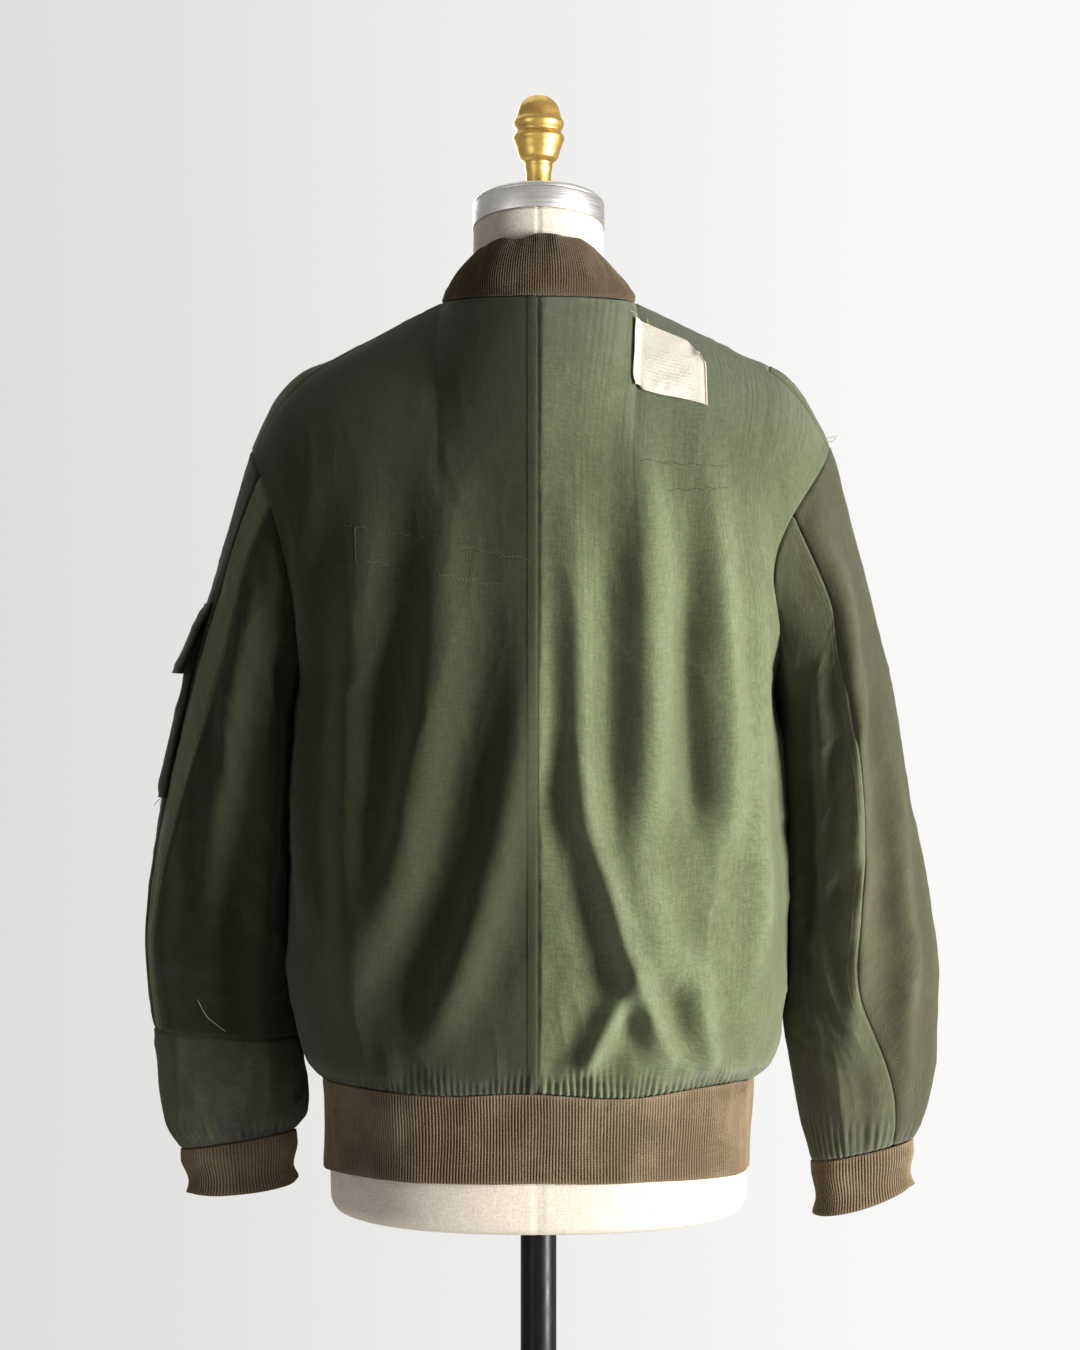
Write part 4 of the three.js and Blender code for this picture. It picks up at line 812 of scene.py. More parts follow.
addRules(labelPaint)
ribLooks = {
    "bandRib": {"Ridge": tone(130, 112, 88), "Furrow Shade": tone(72, 58, 42), "Pilled": tone(150, 134, 110), "Pilling": 0.4},
    # The collar is the same rib knit as the band, toned darker as painted shade
    "collarRibShaded": {"Ridge": tone(102, 86, 65), "Furrow Shade": tone(56, 44, 31), "Pilled": tone(118, 102, 80), "Pilling": 0.4},
    "cuffRib": {"Ridge": tone(136, 119, 94), "Furrow Shade": tone(82, 68, 50), "Pilled": tone(146, 130, 106), "Pilling": 0.5},
}
ribPaint = {name: groupMaterial(name, ribKnit, {**look, "Loops per metre": 620.0}, 0.0005, sheen=0.3)
            for name, look in ribLooks.items()}
steelPaint = groupMaterial("brushedSteel", wornMetal, {
    "Metal": tone(226, 224, 222), "Tarnish": tone(184, 178, 171), "Brush": (30.0, 30.0, 1400.0),
    "Tarnish Amount": 0.35, "Smooth": 0.3, "Rough": 0.52}, 0.00008, metallic=1.0)
goldPaint = groupMaterial("giltMetal", wornMetal, {
    "Metal": tone(236, 200, 122), "Tarnish": tone(160, 122, 66), "Brush": (160.0, 160.0, 160.0),
    "Tarnish Amount": 0.5, "Smooth": 0.28, "Rough": 0.5}, 0.0001, metallic=1.0)
zipPaint = groupMaterial("agedZip", wornMetal, {
    "Metal": tone(168, 152, 112), "Tarnish": tone(92, 82, 60), "Brush": (900.0, 900.0, 900.0),
    "Tarnish Amount": 0.7, "Smooth": 0.35, "Rough": 0.6}, 0.00005, metallic=1.0)
blackPaint = groupMaterial("blackEnamel", wornMetal, {
    "Metal": tone(22, 22, 21), "Tarnish": tone(34, 34, 33), "Brush": (90.0, 90.0, 90.0),
    "Tarnish Amount": 0.4, "Smooth": 0.3, "Rough": 0.45}, 0.00006)


def threadMaterial(name, colour, worn):
    return groupMaterial(name, ribKnit, {"Ridge": colour, "Furrow Shade": colour, "Pilled": worn, "Pilling": 0.3,
                         "Loops per metre": 1800.0}, 0.0001, sheen=0.2)


darkThread = threadMaterial("oliveThread", tone(84, 84, 58), tone(104, 102, 76))
sageThread = threadMaterial("sageThread", tone(136, 138, 106), tone(160, 160, 130))
goldThread = threadMaterial("goldThread", tone(176, 136, 66), tone(196, 160, 92))
creamThread = threadMaterial("creamThread", tone(214, 200, 170), tone(232, 222, 196))
oldRowThread = threadMaterial("oldNeedleHole", tone(104, 104, 74), tone(82, 80, 56))
print("stage: materials are ready")

panels = {}  # each piece's outer points, ways out and reach from its four edges, for the stitches
ruching = {"pitch": 5.4, "height": 1.25, "reach": 30.0, "wander": 2.4}
zipClear = 0.3
crumple = {"large": 1.3, "small": 0.38, "tiny": 0.08}


# Uneven gathers where a panel meets the waistband
def hemRuching(across, up, x, seed):
    uneven = planeNoise(across / 23, up / 60, seed)
    reach = ruching["reach"] * (1 + 0.45 * planeNoise(across / 15, 0 * up, seed + 3))
    phase = 2 * np.pi * across / ruching["pitch"] + ruching["wander"] * uneven
    phase = phase + 0.9 * planeNoise(across / 9, up / 30, seed + 5)
    calm = 0.4 + 0.6 * fadeIn(-x, -60, 40)  # the right half is gathered more
    strength = (0.55 + 0.45 * fadeIn(up, 0, 5)) * (1 - fadeIn(up, reach * 0.35, reach))
    long = 1.7 * planeNoise(across / 11, up / 70, seed + 9) * (1 - fadeIn(up, 20, 75)) * fadeIn(up, 3, 14)
    return (ruching["height"] * np.cos(phase) * strength + long) * calm


def bodyPanel(name, hand, face, paint, columns, rows):
    us = seamedPlaces(330, columns)
    low = np.array([0, 1, 2.2, 3.6, 5.2, 7, 9, 11.5, 14, 17, 20, 23.5, 27, 31, 35, 40]) / 339
    ws = np.concatenate([low, np.linspace(low[-1], 1.985, rows)[1:], [1.989, 1.993, 1.9955, 1.998, 2.0]])
    start = (jacket["seamGap"] / 2 if face > 0 else jacket["zipHalf"] + zipClear) / 330
    u, w = np.meshgrid(mixed(start, 1 - 0.0004, us), ws)
    def form(a, b):
        return smoothBody(hand, face, a, b)
    base = form(u, w)
    below = stacked(0 * u, 0 * u, base[..., 2] - 40)
    out = wayOut(form, np.clip(u, 0.004, 0.996), np.clip(w, 0.004, 1.996), below)
    if face > 0:  # the two halves share one way out at their middle seam
        out[..., 0] *= fadeIn(u, 0.0, 0.03)
        out /= np.linalg.norm(out, axis=-1, keepdims=True)
    left, right, up, down = edgeReach(base)
    seed = 20 + (hand > 0) * 3 + (face > 0) * 7
    x, z = base[..., 0], base[..., 2]
    folds = bodyFold(face, u, w, base)
    far = fadeIn(nearest(left, right, up, down), 3, 22)
    lower = 1 - fadeIn(z, 900, 1120)
    hips = 1 + 1.1 * lower * (1.2 if hand < 0 else 0.8)
    shoulderCalm = 1 - 0.55 * fadeIn(z, 1330, 1450)
    large = crumple["large"] * creases(x + 0.12 * z, z, 46, 120, seed)
    small = crumple["small"] * creases(x - 0.18 * z, z, 17, 44, seed + 1) * hips
    tiny = crumple["tiny"] * creases(x, z, 6.5, 13, seed + 2)
    side = crumple["large"] * 1.1 * creases(z, x, 26, 70, seed + 4)
    side = side * fadeIn(u, 0.62, 0.9) * (1 - fadeIn(z, 1180, 1330))
    detail = (large * (0.7 + 0.5 * lower) + small + tiny + side) * far * shoulderCalm
    gathers = hemRuching(left, up, x, seed + 5) * fadeIn(np.minimum(left, right), 0, 4)
    edges = sewnEdge(right, z, seed + 6) + sewnEdge(left, z, seed + 7) * (1 if face > 0 else 0.5)
    edges = edges + sewnEdge(down, x, seed + 8) + np.minimum(0, -1.0 * np.exp(-(up / 1.8) ** 2))
    if hand > 0 and face > 0:  # the seam allowances lie under two rows of stitches
        edges = edges + 0.55 * (fadeIn(left, 1.0, 2.2) - fadeIn(left, 8.0, 9.5))
    hem = 0.5 * (fadeIn(up, 1.0, 2.5) - fadeIn(up, 9.5, 11)) if face > 0 else 0
    lift = folds + detail + gathers + edges + hem
    points = base + out * lift[..., None]
    # Where this relief sinks the cloth's colour carries painted shade, and where it rises the cloth shows wear
    relief = np.clip(folds / 11 + detail / 3.4 + gathers / 2.2, -1, 1)
    edge = np.exp(-nearest(left, right, up, down) / 5)
    piece = sheetPiece(name, points, out, clothPaint[paint], {"relief": relief, "edge": edge})
    finishCloth(piece, name, points)
    panels[name] = (points, out, left, right, up, down)


def shoulderPiece(name, hand, ends, paint):
    ts = mixed(ends[0], ends[1], seamedPlaces(190 * (ends[1] - ends[0]), int(95 * (ends[1] - ends[0])) + 8))
    ts = mixed(ends[0] + 0.0007, ends[1] - 0.0007, (ts - ends[0]) / (ends[1] - ends[0]))
    acrosses = seamedPlaces(40, 16) * 1.992 - 0.996
    across, t = np.meshgrid(acrosses, ts)
    def form(a, b):
        return shoulderPoint(hand, b, a)
    base = form(across, t)
    below = stacked(0 * t, 0 * t, base[..., 2] - 40)
    out = wayOut(form, across, np.clip(t, 0.004, 0.996), below)
    left, right, up, down = edgeReach(base)
    seed = 51 + (hand > 0) * 5 + int(ends[0] * 10)
    x, y = base[..., 0], base[..., 1]
    edges = sum(sewnEdge(reach, along, seed + k) for k, (reach, along) in
                enumerate(((left, x), (right, x), (up, y), (down, y))))
    far = fadeIn(nearest(left, right, up, down), 2, 10)
    detail = (0.8 * creases(x, y, 20, 20, seed) + 0.3 * creases(x, y, 7, 9, seed + 1)) * far
    points = base + out * (detail + 0.5 * edges)[..., None]
    edge = np.exp(-nearest(left, right, up, down) / 5)
    values = {"relief": np.clip(detail, -1, 1), "edge": edge}
    piece = sheetPiece(name, points, out, clothPaint[paint], values, allowance=5)
    finishCloth(piece, name, points)
    panels[name] = (points, out, left, right, up, down)


bodyPanel("back_left", 1, 1, "darkOlive", 246, 150)
bodyPanel("back_right", -1, 1, "sage", 246, 150)
bodyPanel("front_left", 1, -1, "darkOlive", 190, 110)
bodyPanel("front_right", -1, -1, "sage", 190, 110)
shoulderPiece("shoulder_left", 1, (0, 1), "shoulderSage")
shoulderPiece("shoulder_right", -1, (0, 2 / 3), "shoulderSage")
shoulderPiece("shoulder_patch_right", -1, (2 / 3, 1), "shoulderPatch")
print("stage: body panels are made")

leftSeams = table("s strip back",
    [0, 43.5, 63], [0.15, 43, 66], [0.35, 38, 64], [0.6, 30, 54], [0.8, 24, 42], [0.91, 22, 36])
rightSeams = table("s back",
    [0, 70], [0.08, 78], [0.18, 84], [0.3, 84], [0.55, 84], [0.7, 91], [0.83, 95], [0.95, 68], [1, 58])
elbow = {"left": 0.66, "right": 0.62, "bunch": 0.9}


def sleeveDetail(hand, s, around, along, seed):
    middle = elbow["left"] if hand > 0 else elbow["right"]
    bend = np.exp(-((s - middle) / 0.16) ** 2)
    ends = fadeIn(s, 0.72, 0.95)
    large = crumple["large"] * creases(around, along + 0.3 * around, 34, 95, seed)
    small = crumple["small"] * creases(around + 0.3 * along, along, 17, 38, seed + 1)
    tiny = crumple["tiny"] * creases(around, along, 6.5, 12, seed + 2)
    rings = elbow["bunch"] * creases(along + around * 0.45, around, 19, 60, seed + 3)
    rings = rings * (0.35 * bend + 0.75 * ends)
    return large + small + tiny + rings


# A part of a sleeve between two seams, or a whole round of it where they are None
def sleevePiece(name, hand, lowAngle, highAngle, ends, columns, rows, paint):
    length = 640  # of the whole sleeve
    closed = lowAngle is None
    ss = ends[0] + (ends[1] - ends[0]) * seamedPlaces(length * (ends[1] - ends[0]), rows)
    ss = np.clip(ss, ends[0] + 0.0002, ends[1] - 0.0002)
    if closed:
        cs = np.linspace(0, 1, columns, False)
        low, high = -180 + 0 * ss, 180 + 0 * ss
    else:
        cs = seamedPlaces(110 if "strip" not in name else 34, columns)
        low, high = lowAngle(ss) + 0.06, highAngle(ss) - 0.06
    u, s = np.meshgrid(cs, ss)
    angle = mixed(low[:, None], high[:, None], u)
    def form(a, b):
        return sleeveForm(hand, a * 360, b)
    base = form(angle / 360, s)
    at = np.clip(s, 0.004, 0.996)
    inside = (form(0 * at, at) + form(0 * at + 0.5, at)) / 2
    out = wayOut(form, angle / 360, at, inside)
    left, right, up, down = edgeReach(base)
    tucked = jacket["headTuck"] * (1 - fadeIn(up, 0, 3.5)) if ends[0] == 0 else 0  # its head goes under the armhole
    base = base + stacked(hand * (jacket["seamGap"] - tucked), 0, 0)
    if closed:
        left, right = left + 60, right + 60
    seed = 70 + (hand > 0) * 11
    arc = np.radians(angle) * 75
    run = s * length
    fold = sleeveFold(hand, angle, s)
    reach = nearest(left, right, up, down)
    detail = sleeveDetail(hand, s, arc, run, seed) * fadeIn(reach, 2, 16)
    detail = detail * (1 - 0.8 * fadeIn(np.abs(angle), 150, 176) * (1 - fadeIn(s, 0.5, 0.8)))
    edges = sewnEdge(left, run, seed + 4) + sewnEdge(right, run, seed + 5) if not closed else 0
    edges = edges + sewnEdge(up, arc, seed + 6)
    if ends[1] == 1:  # gathered into the cuff
        phase = 2 * np.pi * arc / 9.5 * (1.6 - 0.6 * s) + 3.6 * planeNoise(arc / 21, run / 50, seed + 8)
        uneven = 0.75 + 0.9 * planeNoise(arc / 13, run / 60, seed + 9)
        puckers = np.cos(phase) * fadeIn(s, 0.955 + 0.02 * uneven, 0.992) * uneven
        edges = edges + 0.95 * puckers * (0.5 + 0.5 * (1 - fadeIn(s, 0.985, 1)))
        edges = edges - 1.0 * np.exp(-(down / 1.8) ** 2)
    else:
        edges = edges + sewnEdge(down, arc, seed + 7)
    points = pressedToBody(hand, base + out * (fold + detail + edges)[..., None])
    # Where this relief sinks the cloth's colour carries painted shade
    relief = np.clip(fold / 10 + detail / 4.2, -1, 1)
    piece = sheetPiece(name, points, out, clothPaint[paint], {"relief": relief, "edge": np.exp(-reach / 5)},
                       closed=closed)
    finishCloth(piece, name, points, closed)
    panels[name] = (points, out, left, right, up, down)


def along(rows, name):
    return lambda s: smoothValue(rows, s, name)


def fixed(angle):
    return lambda s: angle + 0 * s


upperArm = (0, jacket["forearmStart"])
forearm, whole = (jacket["forearmStart"], 1), (0, 1)
strip, leftBack, rightBack = along(leftSeams, "strip"), along(leftSeams, "back"), along(rightSeams, "back")
for name, hand, low, high, ends, columns, rows, paint, slot in (
        ("sleeve_left_front", 1, fixed(-180), strip, upperArm, 120, 130, "leftBackSleeve", "dark_olive_cloth"),
        ("sleeve_left_strip", 1, strip, leftBack, upperArm, 16, 150, "greyOlive", "grey_olive_cloth"),
        ("sleeve_left_back", 1, leftBack, fixed(180), upperArm, 84, 180, "leftBackSleeve", "dark_olive_cloth"),
        ("sleeve_left_forearm", 1, None, None, forearm, 190, 44, "forearm", "faded_olive_cloth"),
        ("sleeve_right_front", -1, fixed(-180), rightBack, whole, 130, 160, "rightFrontSleeve", "faded_olive_cloth"),
        ("sleeve_right_back", -1, rightBack, fixed(180), whole, 84, 210, "rightSleeve", "faded_olive_cloth")):
    sleevePiece(name, hand, low, high, ends, columns, rows, paint)
print("stage: sleeves are made")


# Geometry Nodes make the ribs, the stitches and the zip's teeth, and their result is kept as a mesh
def geometryTree(name, inputs):
    tree = bpy.data.node_groups.new(name, "GeometryNodeTree")
    tree.interface.new_socket(name="Geometry", in_out="INPUT", socket_type="NodeSocketGeometry")
    for label, kind, value in inputs:
        socket = tree.interface.new_socket(name=label, in_out="INPUT", socket_type="NodeSocket" + kind)
        if value is not None:
            socket.default_value = value
    tree.interface.new_socket(name="Geometry", in_out="OUTPUT", socket_type="NodeSocketGeometry")
    return tree, tree.nodes.new("NodeGroupInput").outputs


def endTree(tree, geometry, paint):
    whole = addNode(tree, "GeometryNodeRealizeInstances", {0: geometry}).outputs[0]
    painted = addNode(tree, "GeometryNodeSetMaterial", {"Geometry": whole, "Material": paint}).outputs[0]
    tree.links.new(painted, tree.nodes.new("NodeGroupOutput").inputs[0])


def grownMesh(thing, tree, settings):
    modifier = thing.modifiers.new("grown", "NODES")
    modifier.node_group = tree
    for item in tree.interface.items_tree:
        if item.in_out == "INPUT" and item.name in settings:
            modifier[item.identifier] = settings[item.name]
    ready = thing.evaluated_get(bpy.context.evaluated_depsgraph_get())
    mesh = bpy.data.meshes.new_from_object(ready)
    thing.modifiers.remove(modifier)
    return mesh


# A mesh grown along lines given in millimetres
def grownAlong(name, lines, tree, settings):
    data = bpy.data.curves.new(name, "CURVE")
    data.dimensions = "3D"
    for line in lines:
        line = np.asarray(line, float) * millimetre
        spline = data.splines.new("POLY")
        spline.points.add(len(line) - 1)
        spline.points.foreach_set("co", np.concatenate([line, np.ones((len(line), 1))], 1).ravel())
    guide = linked(name, data)
    mesh = grownMesh(guide, tree, settings)
    bpy.data.objects.remove(guide)
    bpy.data.curves.remove(data)
    return mesh


# The same small mesh on points along a curve, turned along it
def spacedAlong(tree, given, bead, axis, **more):
    spaced = addNode(tree, "GeometryNodeResampleCurve", {"Curve": given["Geometry"], "Length": given["Pitch"]},
                     mode="LENGTH").outputs[0]
    tangent = addNode(tree, "GeometryNodeInputTangent").outputs[0]
    turned = addNode(tree, "FunctionNodeAlignRotationToVector", {"Vector": tangent}, axis=axis).outputs[0]
    placed = addNode(tree, "GeometryNodeInstanceOnPoints",
                     {"Points": spaced, "Instance": bead, "Rotation": turned, **more}).outputs[0]
    endTree(tree, placed, given["Paint"])


def buildRibbing():
    tree, given = geometryTree("ribbing", [("Height", "Float", 0.0004), ("Paint", "Material", None)])
    turn = addNode(tree, "GeometryNodeInputNamedAttribute", {"Name": "ribTurn"}, data_type="FLOAT").outputs[0]
    fade = addNode(tree, "GeometryNodeInputNamedAttribute", {"Name": "ribFade"}, data_type="FLOAT").outputs[0]
    wave = maths(tree, "COSINE", times(tree, turn, 2 * math.pi))
    raised = times(tree, wave, fade)
    normal = addNode(tree, "GeometryNodeInputNormal").outputs[0]
    lift = addNode(tree, "ShaderNodeVectorMath", {0: normal, "Scale": times(tree, raised, given["Height"])},
                   operation="SCALE").outputs[0]
    moved = addNode(tree, "GeometryNodeSetPosition", {"Geometry": given["Geometry"], "Offset": lift}).outputs[0]
    # The stored relief sets the painted shade in the rib furrows
    kept = addNode(tree, "GeometryNodeStoreNamedAttribute", {"Geometry": moved, "Name": "relief", "Value": raised},
                   data_type="FLOAT", domain="POINT").outputs[0]
    endTree(tree, kept, given["Paint"])
    return tree


def buildStitching():
    tree, given = geometryTree("stitching", [
        ("Pitch", "Float", 0.0028), ("Length", "Float", 0.0011), ("Width", "Float", 0.00032),
        ("Unevenness", "Float", 0.15), ("Seed", "Int", 4), ("Paint", "Material", None)])
    bead = addNode(tree, "GeometryNodeMeshIcoSphere", {"Radius": 1.0, "Subdivisions": 1}).outputs[0]
    size = addNode(tree, "ShaderNodeCombineXYZ", {0: given["Length"], 1: given["Width"], 2: given["Width"]}).outputs[0]
    uneven = addNode(tree, "FunctionNodeRandomValue", {"Seed": given["Seed"]}, data_type="FLOAT")
    low = maths(tree, "SUBTRACT", 1.0, given["Unevenness"])
    tree.links.new(low, uneven.inputs[2])
    uneven.inputs[3].default_value = 1.0
    scale = addNode(tree, "ShaderNodeVectorMath", {0: size, "Scale": uneven.outputs[1]}, operation="SCALE").outputs[0]
    spacedAlong(tree, given, bead, "X", Scale=scale)
    return tree


ribbing, stitching = buildRibbing(), buildStitching()


# Runs of stitches along lines, as one piece
def stitchPiece(name, lines, paint, slot, pitch=2.8, length=1.05, width=0.3, seed=4):
    mesh = grownAlong(name + "Line", lines, stitching, {
        "Pitch": pitch * millimetre, "Length": length * millimetre, "Width": width * millimetre,
        "Seed": seed, "Paint": paint})
    mesh.polygons.foreach_set("use_smooth", [True] * len(mesh.polygons))
    thing = linked(name, mesh)
    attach(thing, body)


# The line on a panel that keeps a distance from one of its edges
def beside(name, edge, distance, start=0.0, end=1.0, lift=0.15):
    points, out, left, right, low, high = panels[name]
    reach = {"left": left, "right": right, "low": low, "high": high}[edge]
    if edge in ("low", "high"):
        points, out, reach = (np.swapaxes(grid, 0, 1) for grid in (points, out, reach))
    first, last = int(start * (len(points) - 1)), int(end * (len(points) - 1))
    line = []
    for row in range(first, last + 1):
        far, spots = reach[row], points[row] + out[row] * lift
        if far[-1] < far[0]:
            far, spots = far[::-1], spots[::-1]
        line.append([np.interp(distance, far, spots[:, k]) for k in range(3)])
    return np.array(line)


# Places on a panel by x and z, from its nearest grid points
def onPanel(name, x, z, lift, seen=False):
    points, out = panels[name][:2]
    flat, ways = points.reshape(-1, 3), out.reshape(-1, 3)
    eyeY, eyeZ = camera["distance"] / millimetre, camera["height"] / millimetre
    nearer = eyeY / (eyeY - flat[:, 1]) if seen else 1
    across, up = flat[:, 0] * nearer, (flat[:, 2] - eyeZ) * nearer + eyeZ
    found = []
    for a, b in zip(np.ravel(x), np.ravel(z)):
        miss = (across - a) ** 2 + (up - b) ** 2
        near = np.argpartition(miss, 24)[:24]
        weight = np.exp(-miss[near] / 2.2) + 1e-9
        found.append(((flat[near] + ways[near] * lift) * weight[:, None]).sum(0) / weight.sum())
    return np.array(found).reshape(np.shape(x) + (3,))


# A wall of rib knit, with "turns" counting its ribs around and "fade" flattening them at the ends
def ribbedPiece(name, points, thickness, turns, fade, paint, height, closed=False):
    out = normalsOf(points, points - points.mean((0, 1)) * [1, 1, 0] - points * [0, 0, 1])
    values = {"ribTurn": turns, "ribFade": fade, "edge": 0 * fade, "relief": 0 * fade}
    piece = wallPiece(name, points, out, ribPaint[paint], values, thickness, closed)
    inner = np.zeros(len(piece.data.vertices), np.float32)
    inner[:fade.size] = fade.ravel()
    piece.data.attributes["ribFade"].data.foreach_set("value", inner)
    bare = piece.data
    piece.data = grownMesh(piece, ribbing, {"Height": height * millimetre, "Paint": ribPaint[paint]})
    bpy.data.meshes.remove(bare)
    finishCloth(piece, name, points, closed)


waistband = {"ribs": 452, "steps": 5, "height": 0.42}
waistSections = table("rise side back front",
    [0, 184, 133, 131], [0.35, 183.4, 132.6, 130.6], [0.75, 184.6, 134.4, 132], [1, 186, 137, 134])


def addWaistband():
    count = waistband["ribs"] * waistband["steps"] + 1
    rise = np.array([0, 0.012, 0.035, 0.08, 0.16, 0.28, 0.42, 0.56, 0.7, 0.82, 0.9, 0.95, 0.985, 1])
    u, at = np.meshgrid(np.linspace(0, 1, count), rise)
    value = {name: smoothValue(waistSections, at, name) for name in ("side", "back", "front")}
    gap = np.arcsin((jacket["zipHalf"] + zipClear) / value["side"])
    angle = mixed(-np.pi + gap, np.pi - gap, u)
    depth = np.where(np.cos(angle) > 0, value["back"], value["front"])
    reach = roundedReach(1, 1, jacket["square"], angle)
    soft = 1 + (0.011 * planeNoise(angle * 7, at * 1.3, 31) + 0.006 * planeNoise(angle * 17, at * 2, 32) * at)
    soft = 1 + (soft - 1) * fadeIn(np.pi - np.abs(angle), 0.02, 0.3)
    x = value["side"] * np.sin(angle) * reach * soft
    y = depth * np.cos(angle) * reach * soft
    bottom = jacket["hemZ"] - jacket["bandHeight"] + 6 * np.cos(angle) ** 2 - 5
    bottom = bottom + 1.2 * planeNoise(angle * 4, 0 * at, 33)
    top = jacket["hemZ"] + hemLine(x) - 0.45
    z = mixed(bottom, top, at)
    turns = u * waistband["ribs"] + 0.35 * planeNoise(angle * 9, at * 1.5, 34)
    fade = (0.35 + 0.65 * fadeIn(at, 0, 0.06)) * (0.3 + 0.7 * (1 - fadeIn(at, 0.93, 1)))
    ribbedPiece("waistband", stacked(x, y, z), 3.0, turns, fade, "bandRib", waistband["height"])


collar = {"ribs": 232, "steps": 4, "height": 0.4}
collarSections = table("rise in up", [0, 0, 0], [0.35, 0.1, 0.36], [0.7, 0.5, 0.72], [1, 1, 1])
collarRim = table("turn up", [-180, 0], [-90, -4], [-64, -6], [-50, -2], [-34, 1.3], [-22, 0.4], [-10, 3],
    [4, 1], [15, -3], [32, 1.3], [55, -1], [90, 0], [180, 0])


def addCollar():
    angle = np.linspace(-178.4, 178.4, collar["ribs"] * collar["steps"] + 1)
    rise = np.array([0, 0.015, 0.05, 0.12, 0.22, 0.33, 0.44, 0.55, 0.66, 0.76, 0.85, 0.92, 0.965, 0.99, 1])
    angle, at = np.meshgrid(angle, rise)
    hand = np.where(angle < 0, -1, 1)
    foot = neckPoint(np.abs(angle)) * stacked(hand, 1, 1)
    turn = np.abs(angle) * degree
    frontShare = (1 - np.cos(turn)) / 2
    wave = 1.6 * np.cos(7 * turn) + 1.1 * np.cos(11 * turn + 1)
    rim = smoothValue(collarRim, angle, "up")
    topZ = mixed(1573, 1503, frontShare ** 1.3) + 4 * np.sin(turn) ** 2 + mixed(wave, rim, 0.6)
    bulge = 1.7 * planeNoise(angle / 15, at * 1.4, 41) * fadeIn(at, 0.02, 0.3) + 0.8 * planeNoise(angle / 6, at * 2, 42)
    bulge = bulge * fadeIn(180 - np.abs(angle), 2, 14) * fadeIn(at, 0, 0.2)
    inShare, upShare = smoothValue(collarSections, at, "in"), smoothValue(collarSections, at, "up")
    x = mixed(foot[..., 0], hand * 62.5 * np.sin(turn), inShare) + bulge * np.sin(angle * degree)
    y = mixed(foot[..., 1], 63 * np.cos(turn), inShare) + bulge * np.cos(turn)
    z = mixed(foot[..., 2] + 0.3 + 2 * fadeIn(frontShare, 0.42, 0.55), topZ, upShare)
    turns = (angle / 356.8 + 0.5) * collar["ribs"] + 0.3 * planeNoise(angle / 8, at * 1.5, 43)
    fade = (0.4 + 0.6 * fadeIn(at, 0, 0.08)) * (0.3 + 0.7 * (1 - fadeIn(at, 0.93, 1)))
    ribbedPiece("collar", stacked(x, y, z), 3.0, turns, fade, "collarRibShaded", collar["height"])


cuffs = {"ribs": 104, "steps": 5, "height": 0.42}


def addCuff(name, hand, height, sag, inward):
    angle = np.linspace(-180, 180, cuffs["ribs"] * cuffs["steps"], False)
    rise = np.array([0, 0.02, 0.06, 0.13, 0.24, 0.36, 0.48, 0.6, 0.72, 0.83, 0.91, 0.96, 1]) * (1 - 0.3 / height)
    angle, at = np.meshgrid(angle, rise)
    middle = (sleeveForm(hand, 0 * at, 0 * at + 1) + sleeveForm(hand, 0 * at + 180, 0 * at + 1)) / 2
    spread = sleeveForm(hand, angle, 0 * at + 1) - middle
    spread = spread * (1 - 0.12 * np.sin(np.pi * np.minimum(at * 1.4, 1)) * (1 - at))[..., None]
    soft = 1 + 0.03 * planeNoise(angle / 24, at * 1.4, 47 + hand) + 0.02 * planeNoise(angle / 9, at * 2, 49 + hand) * at
    points = middle + spread * soft[..., None]
    points[..., 0] -= hand * inward * (1 - at)
    points[..., 2] -= (height + sag * np.maximum(0, np.cos((angle - 120) * degree))) * (1 - at)
    turns = (angle / 360 + 0.5) * cuffs["ribs"]
    fade = (0.35 + 0.65 * fadeIn(at, 0, 0.08)) * (0.3 + 0.7 * (1 - fadeIn(at, 0.9, 0.99)))
    ribbedPiece(name, points, 2.6, turns, fade, "cuffRib", cuffs["height"], True)


addWaistband()
addCollar()
addCuff("cuff_left", hand=1, height=38, sag=8, inward=3)
addCuff("cuff_right", hand=-1, height=40, sag=8, inward=-1)
print("stage: ribs are made")


# The label lies bare on the right back, with one corner turned up
def addLabel():
    u, at = np.meshgrid(seamedPlaces(62, 26), seamedPlaces(64, 26))
    rounded = 7 * (fadeIn(u, 0.7, 1) * fadeIn(at, 0.6, 1)) ** 1.5
    cut = 2 * (fadeIn(1 - u, 0.8, 1) * fadeIn(1 - at, 0.8, 1)) ** 1.5
    x = mixed(mixed(-77, -140, u), mixed(-81, -141, u), at) + rounded * 0.8 - cut
    z = mixed(mixed(1440, 1424, u), mixed(1505, 1478, u), at) - rounded + cut
    curl = 1.5 * fadeIn(u, 0.8, 1) * fadeIn(at, 0.6, 1) + 0.5 * planeNoise(u * 5, at * 4, 61)
    flat = onPanel("back_right", x, z, 0)
    out = onPanel("back_right", x, z, 1) - flat
    out /= np.linalg.norm(out, axis=-1, keepdims=True)
    crease = 0.45 * creases(u * 60, at * 60, 16, 22, 62)
    left, right, low, high = edgeReach(flat)
    reach = nearest(left, right, low, high)
    sewn = -0.55 * np.exp(-((reach - 2.2) / 1.1) ** 2)
    points = flat + out * (2.3 + curl + crease * fadeIn(reach, 1, 8) + sewn)[..., None]
    values = {"relief": 0.2 * crease, "edge": np.exp(-reach / 3)}
    piece = wallPiece("label", points, out, labelPaint, values, 0.8)
    finishCloth(piece, "label", points)
    panels["label"] = (points, out, left, right, low, high)


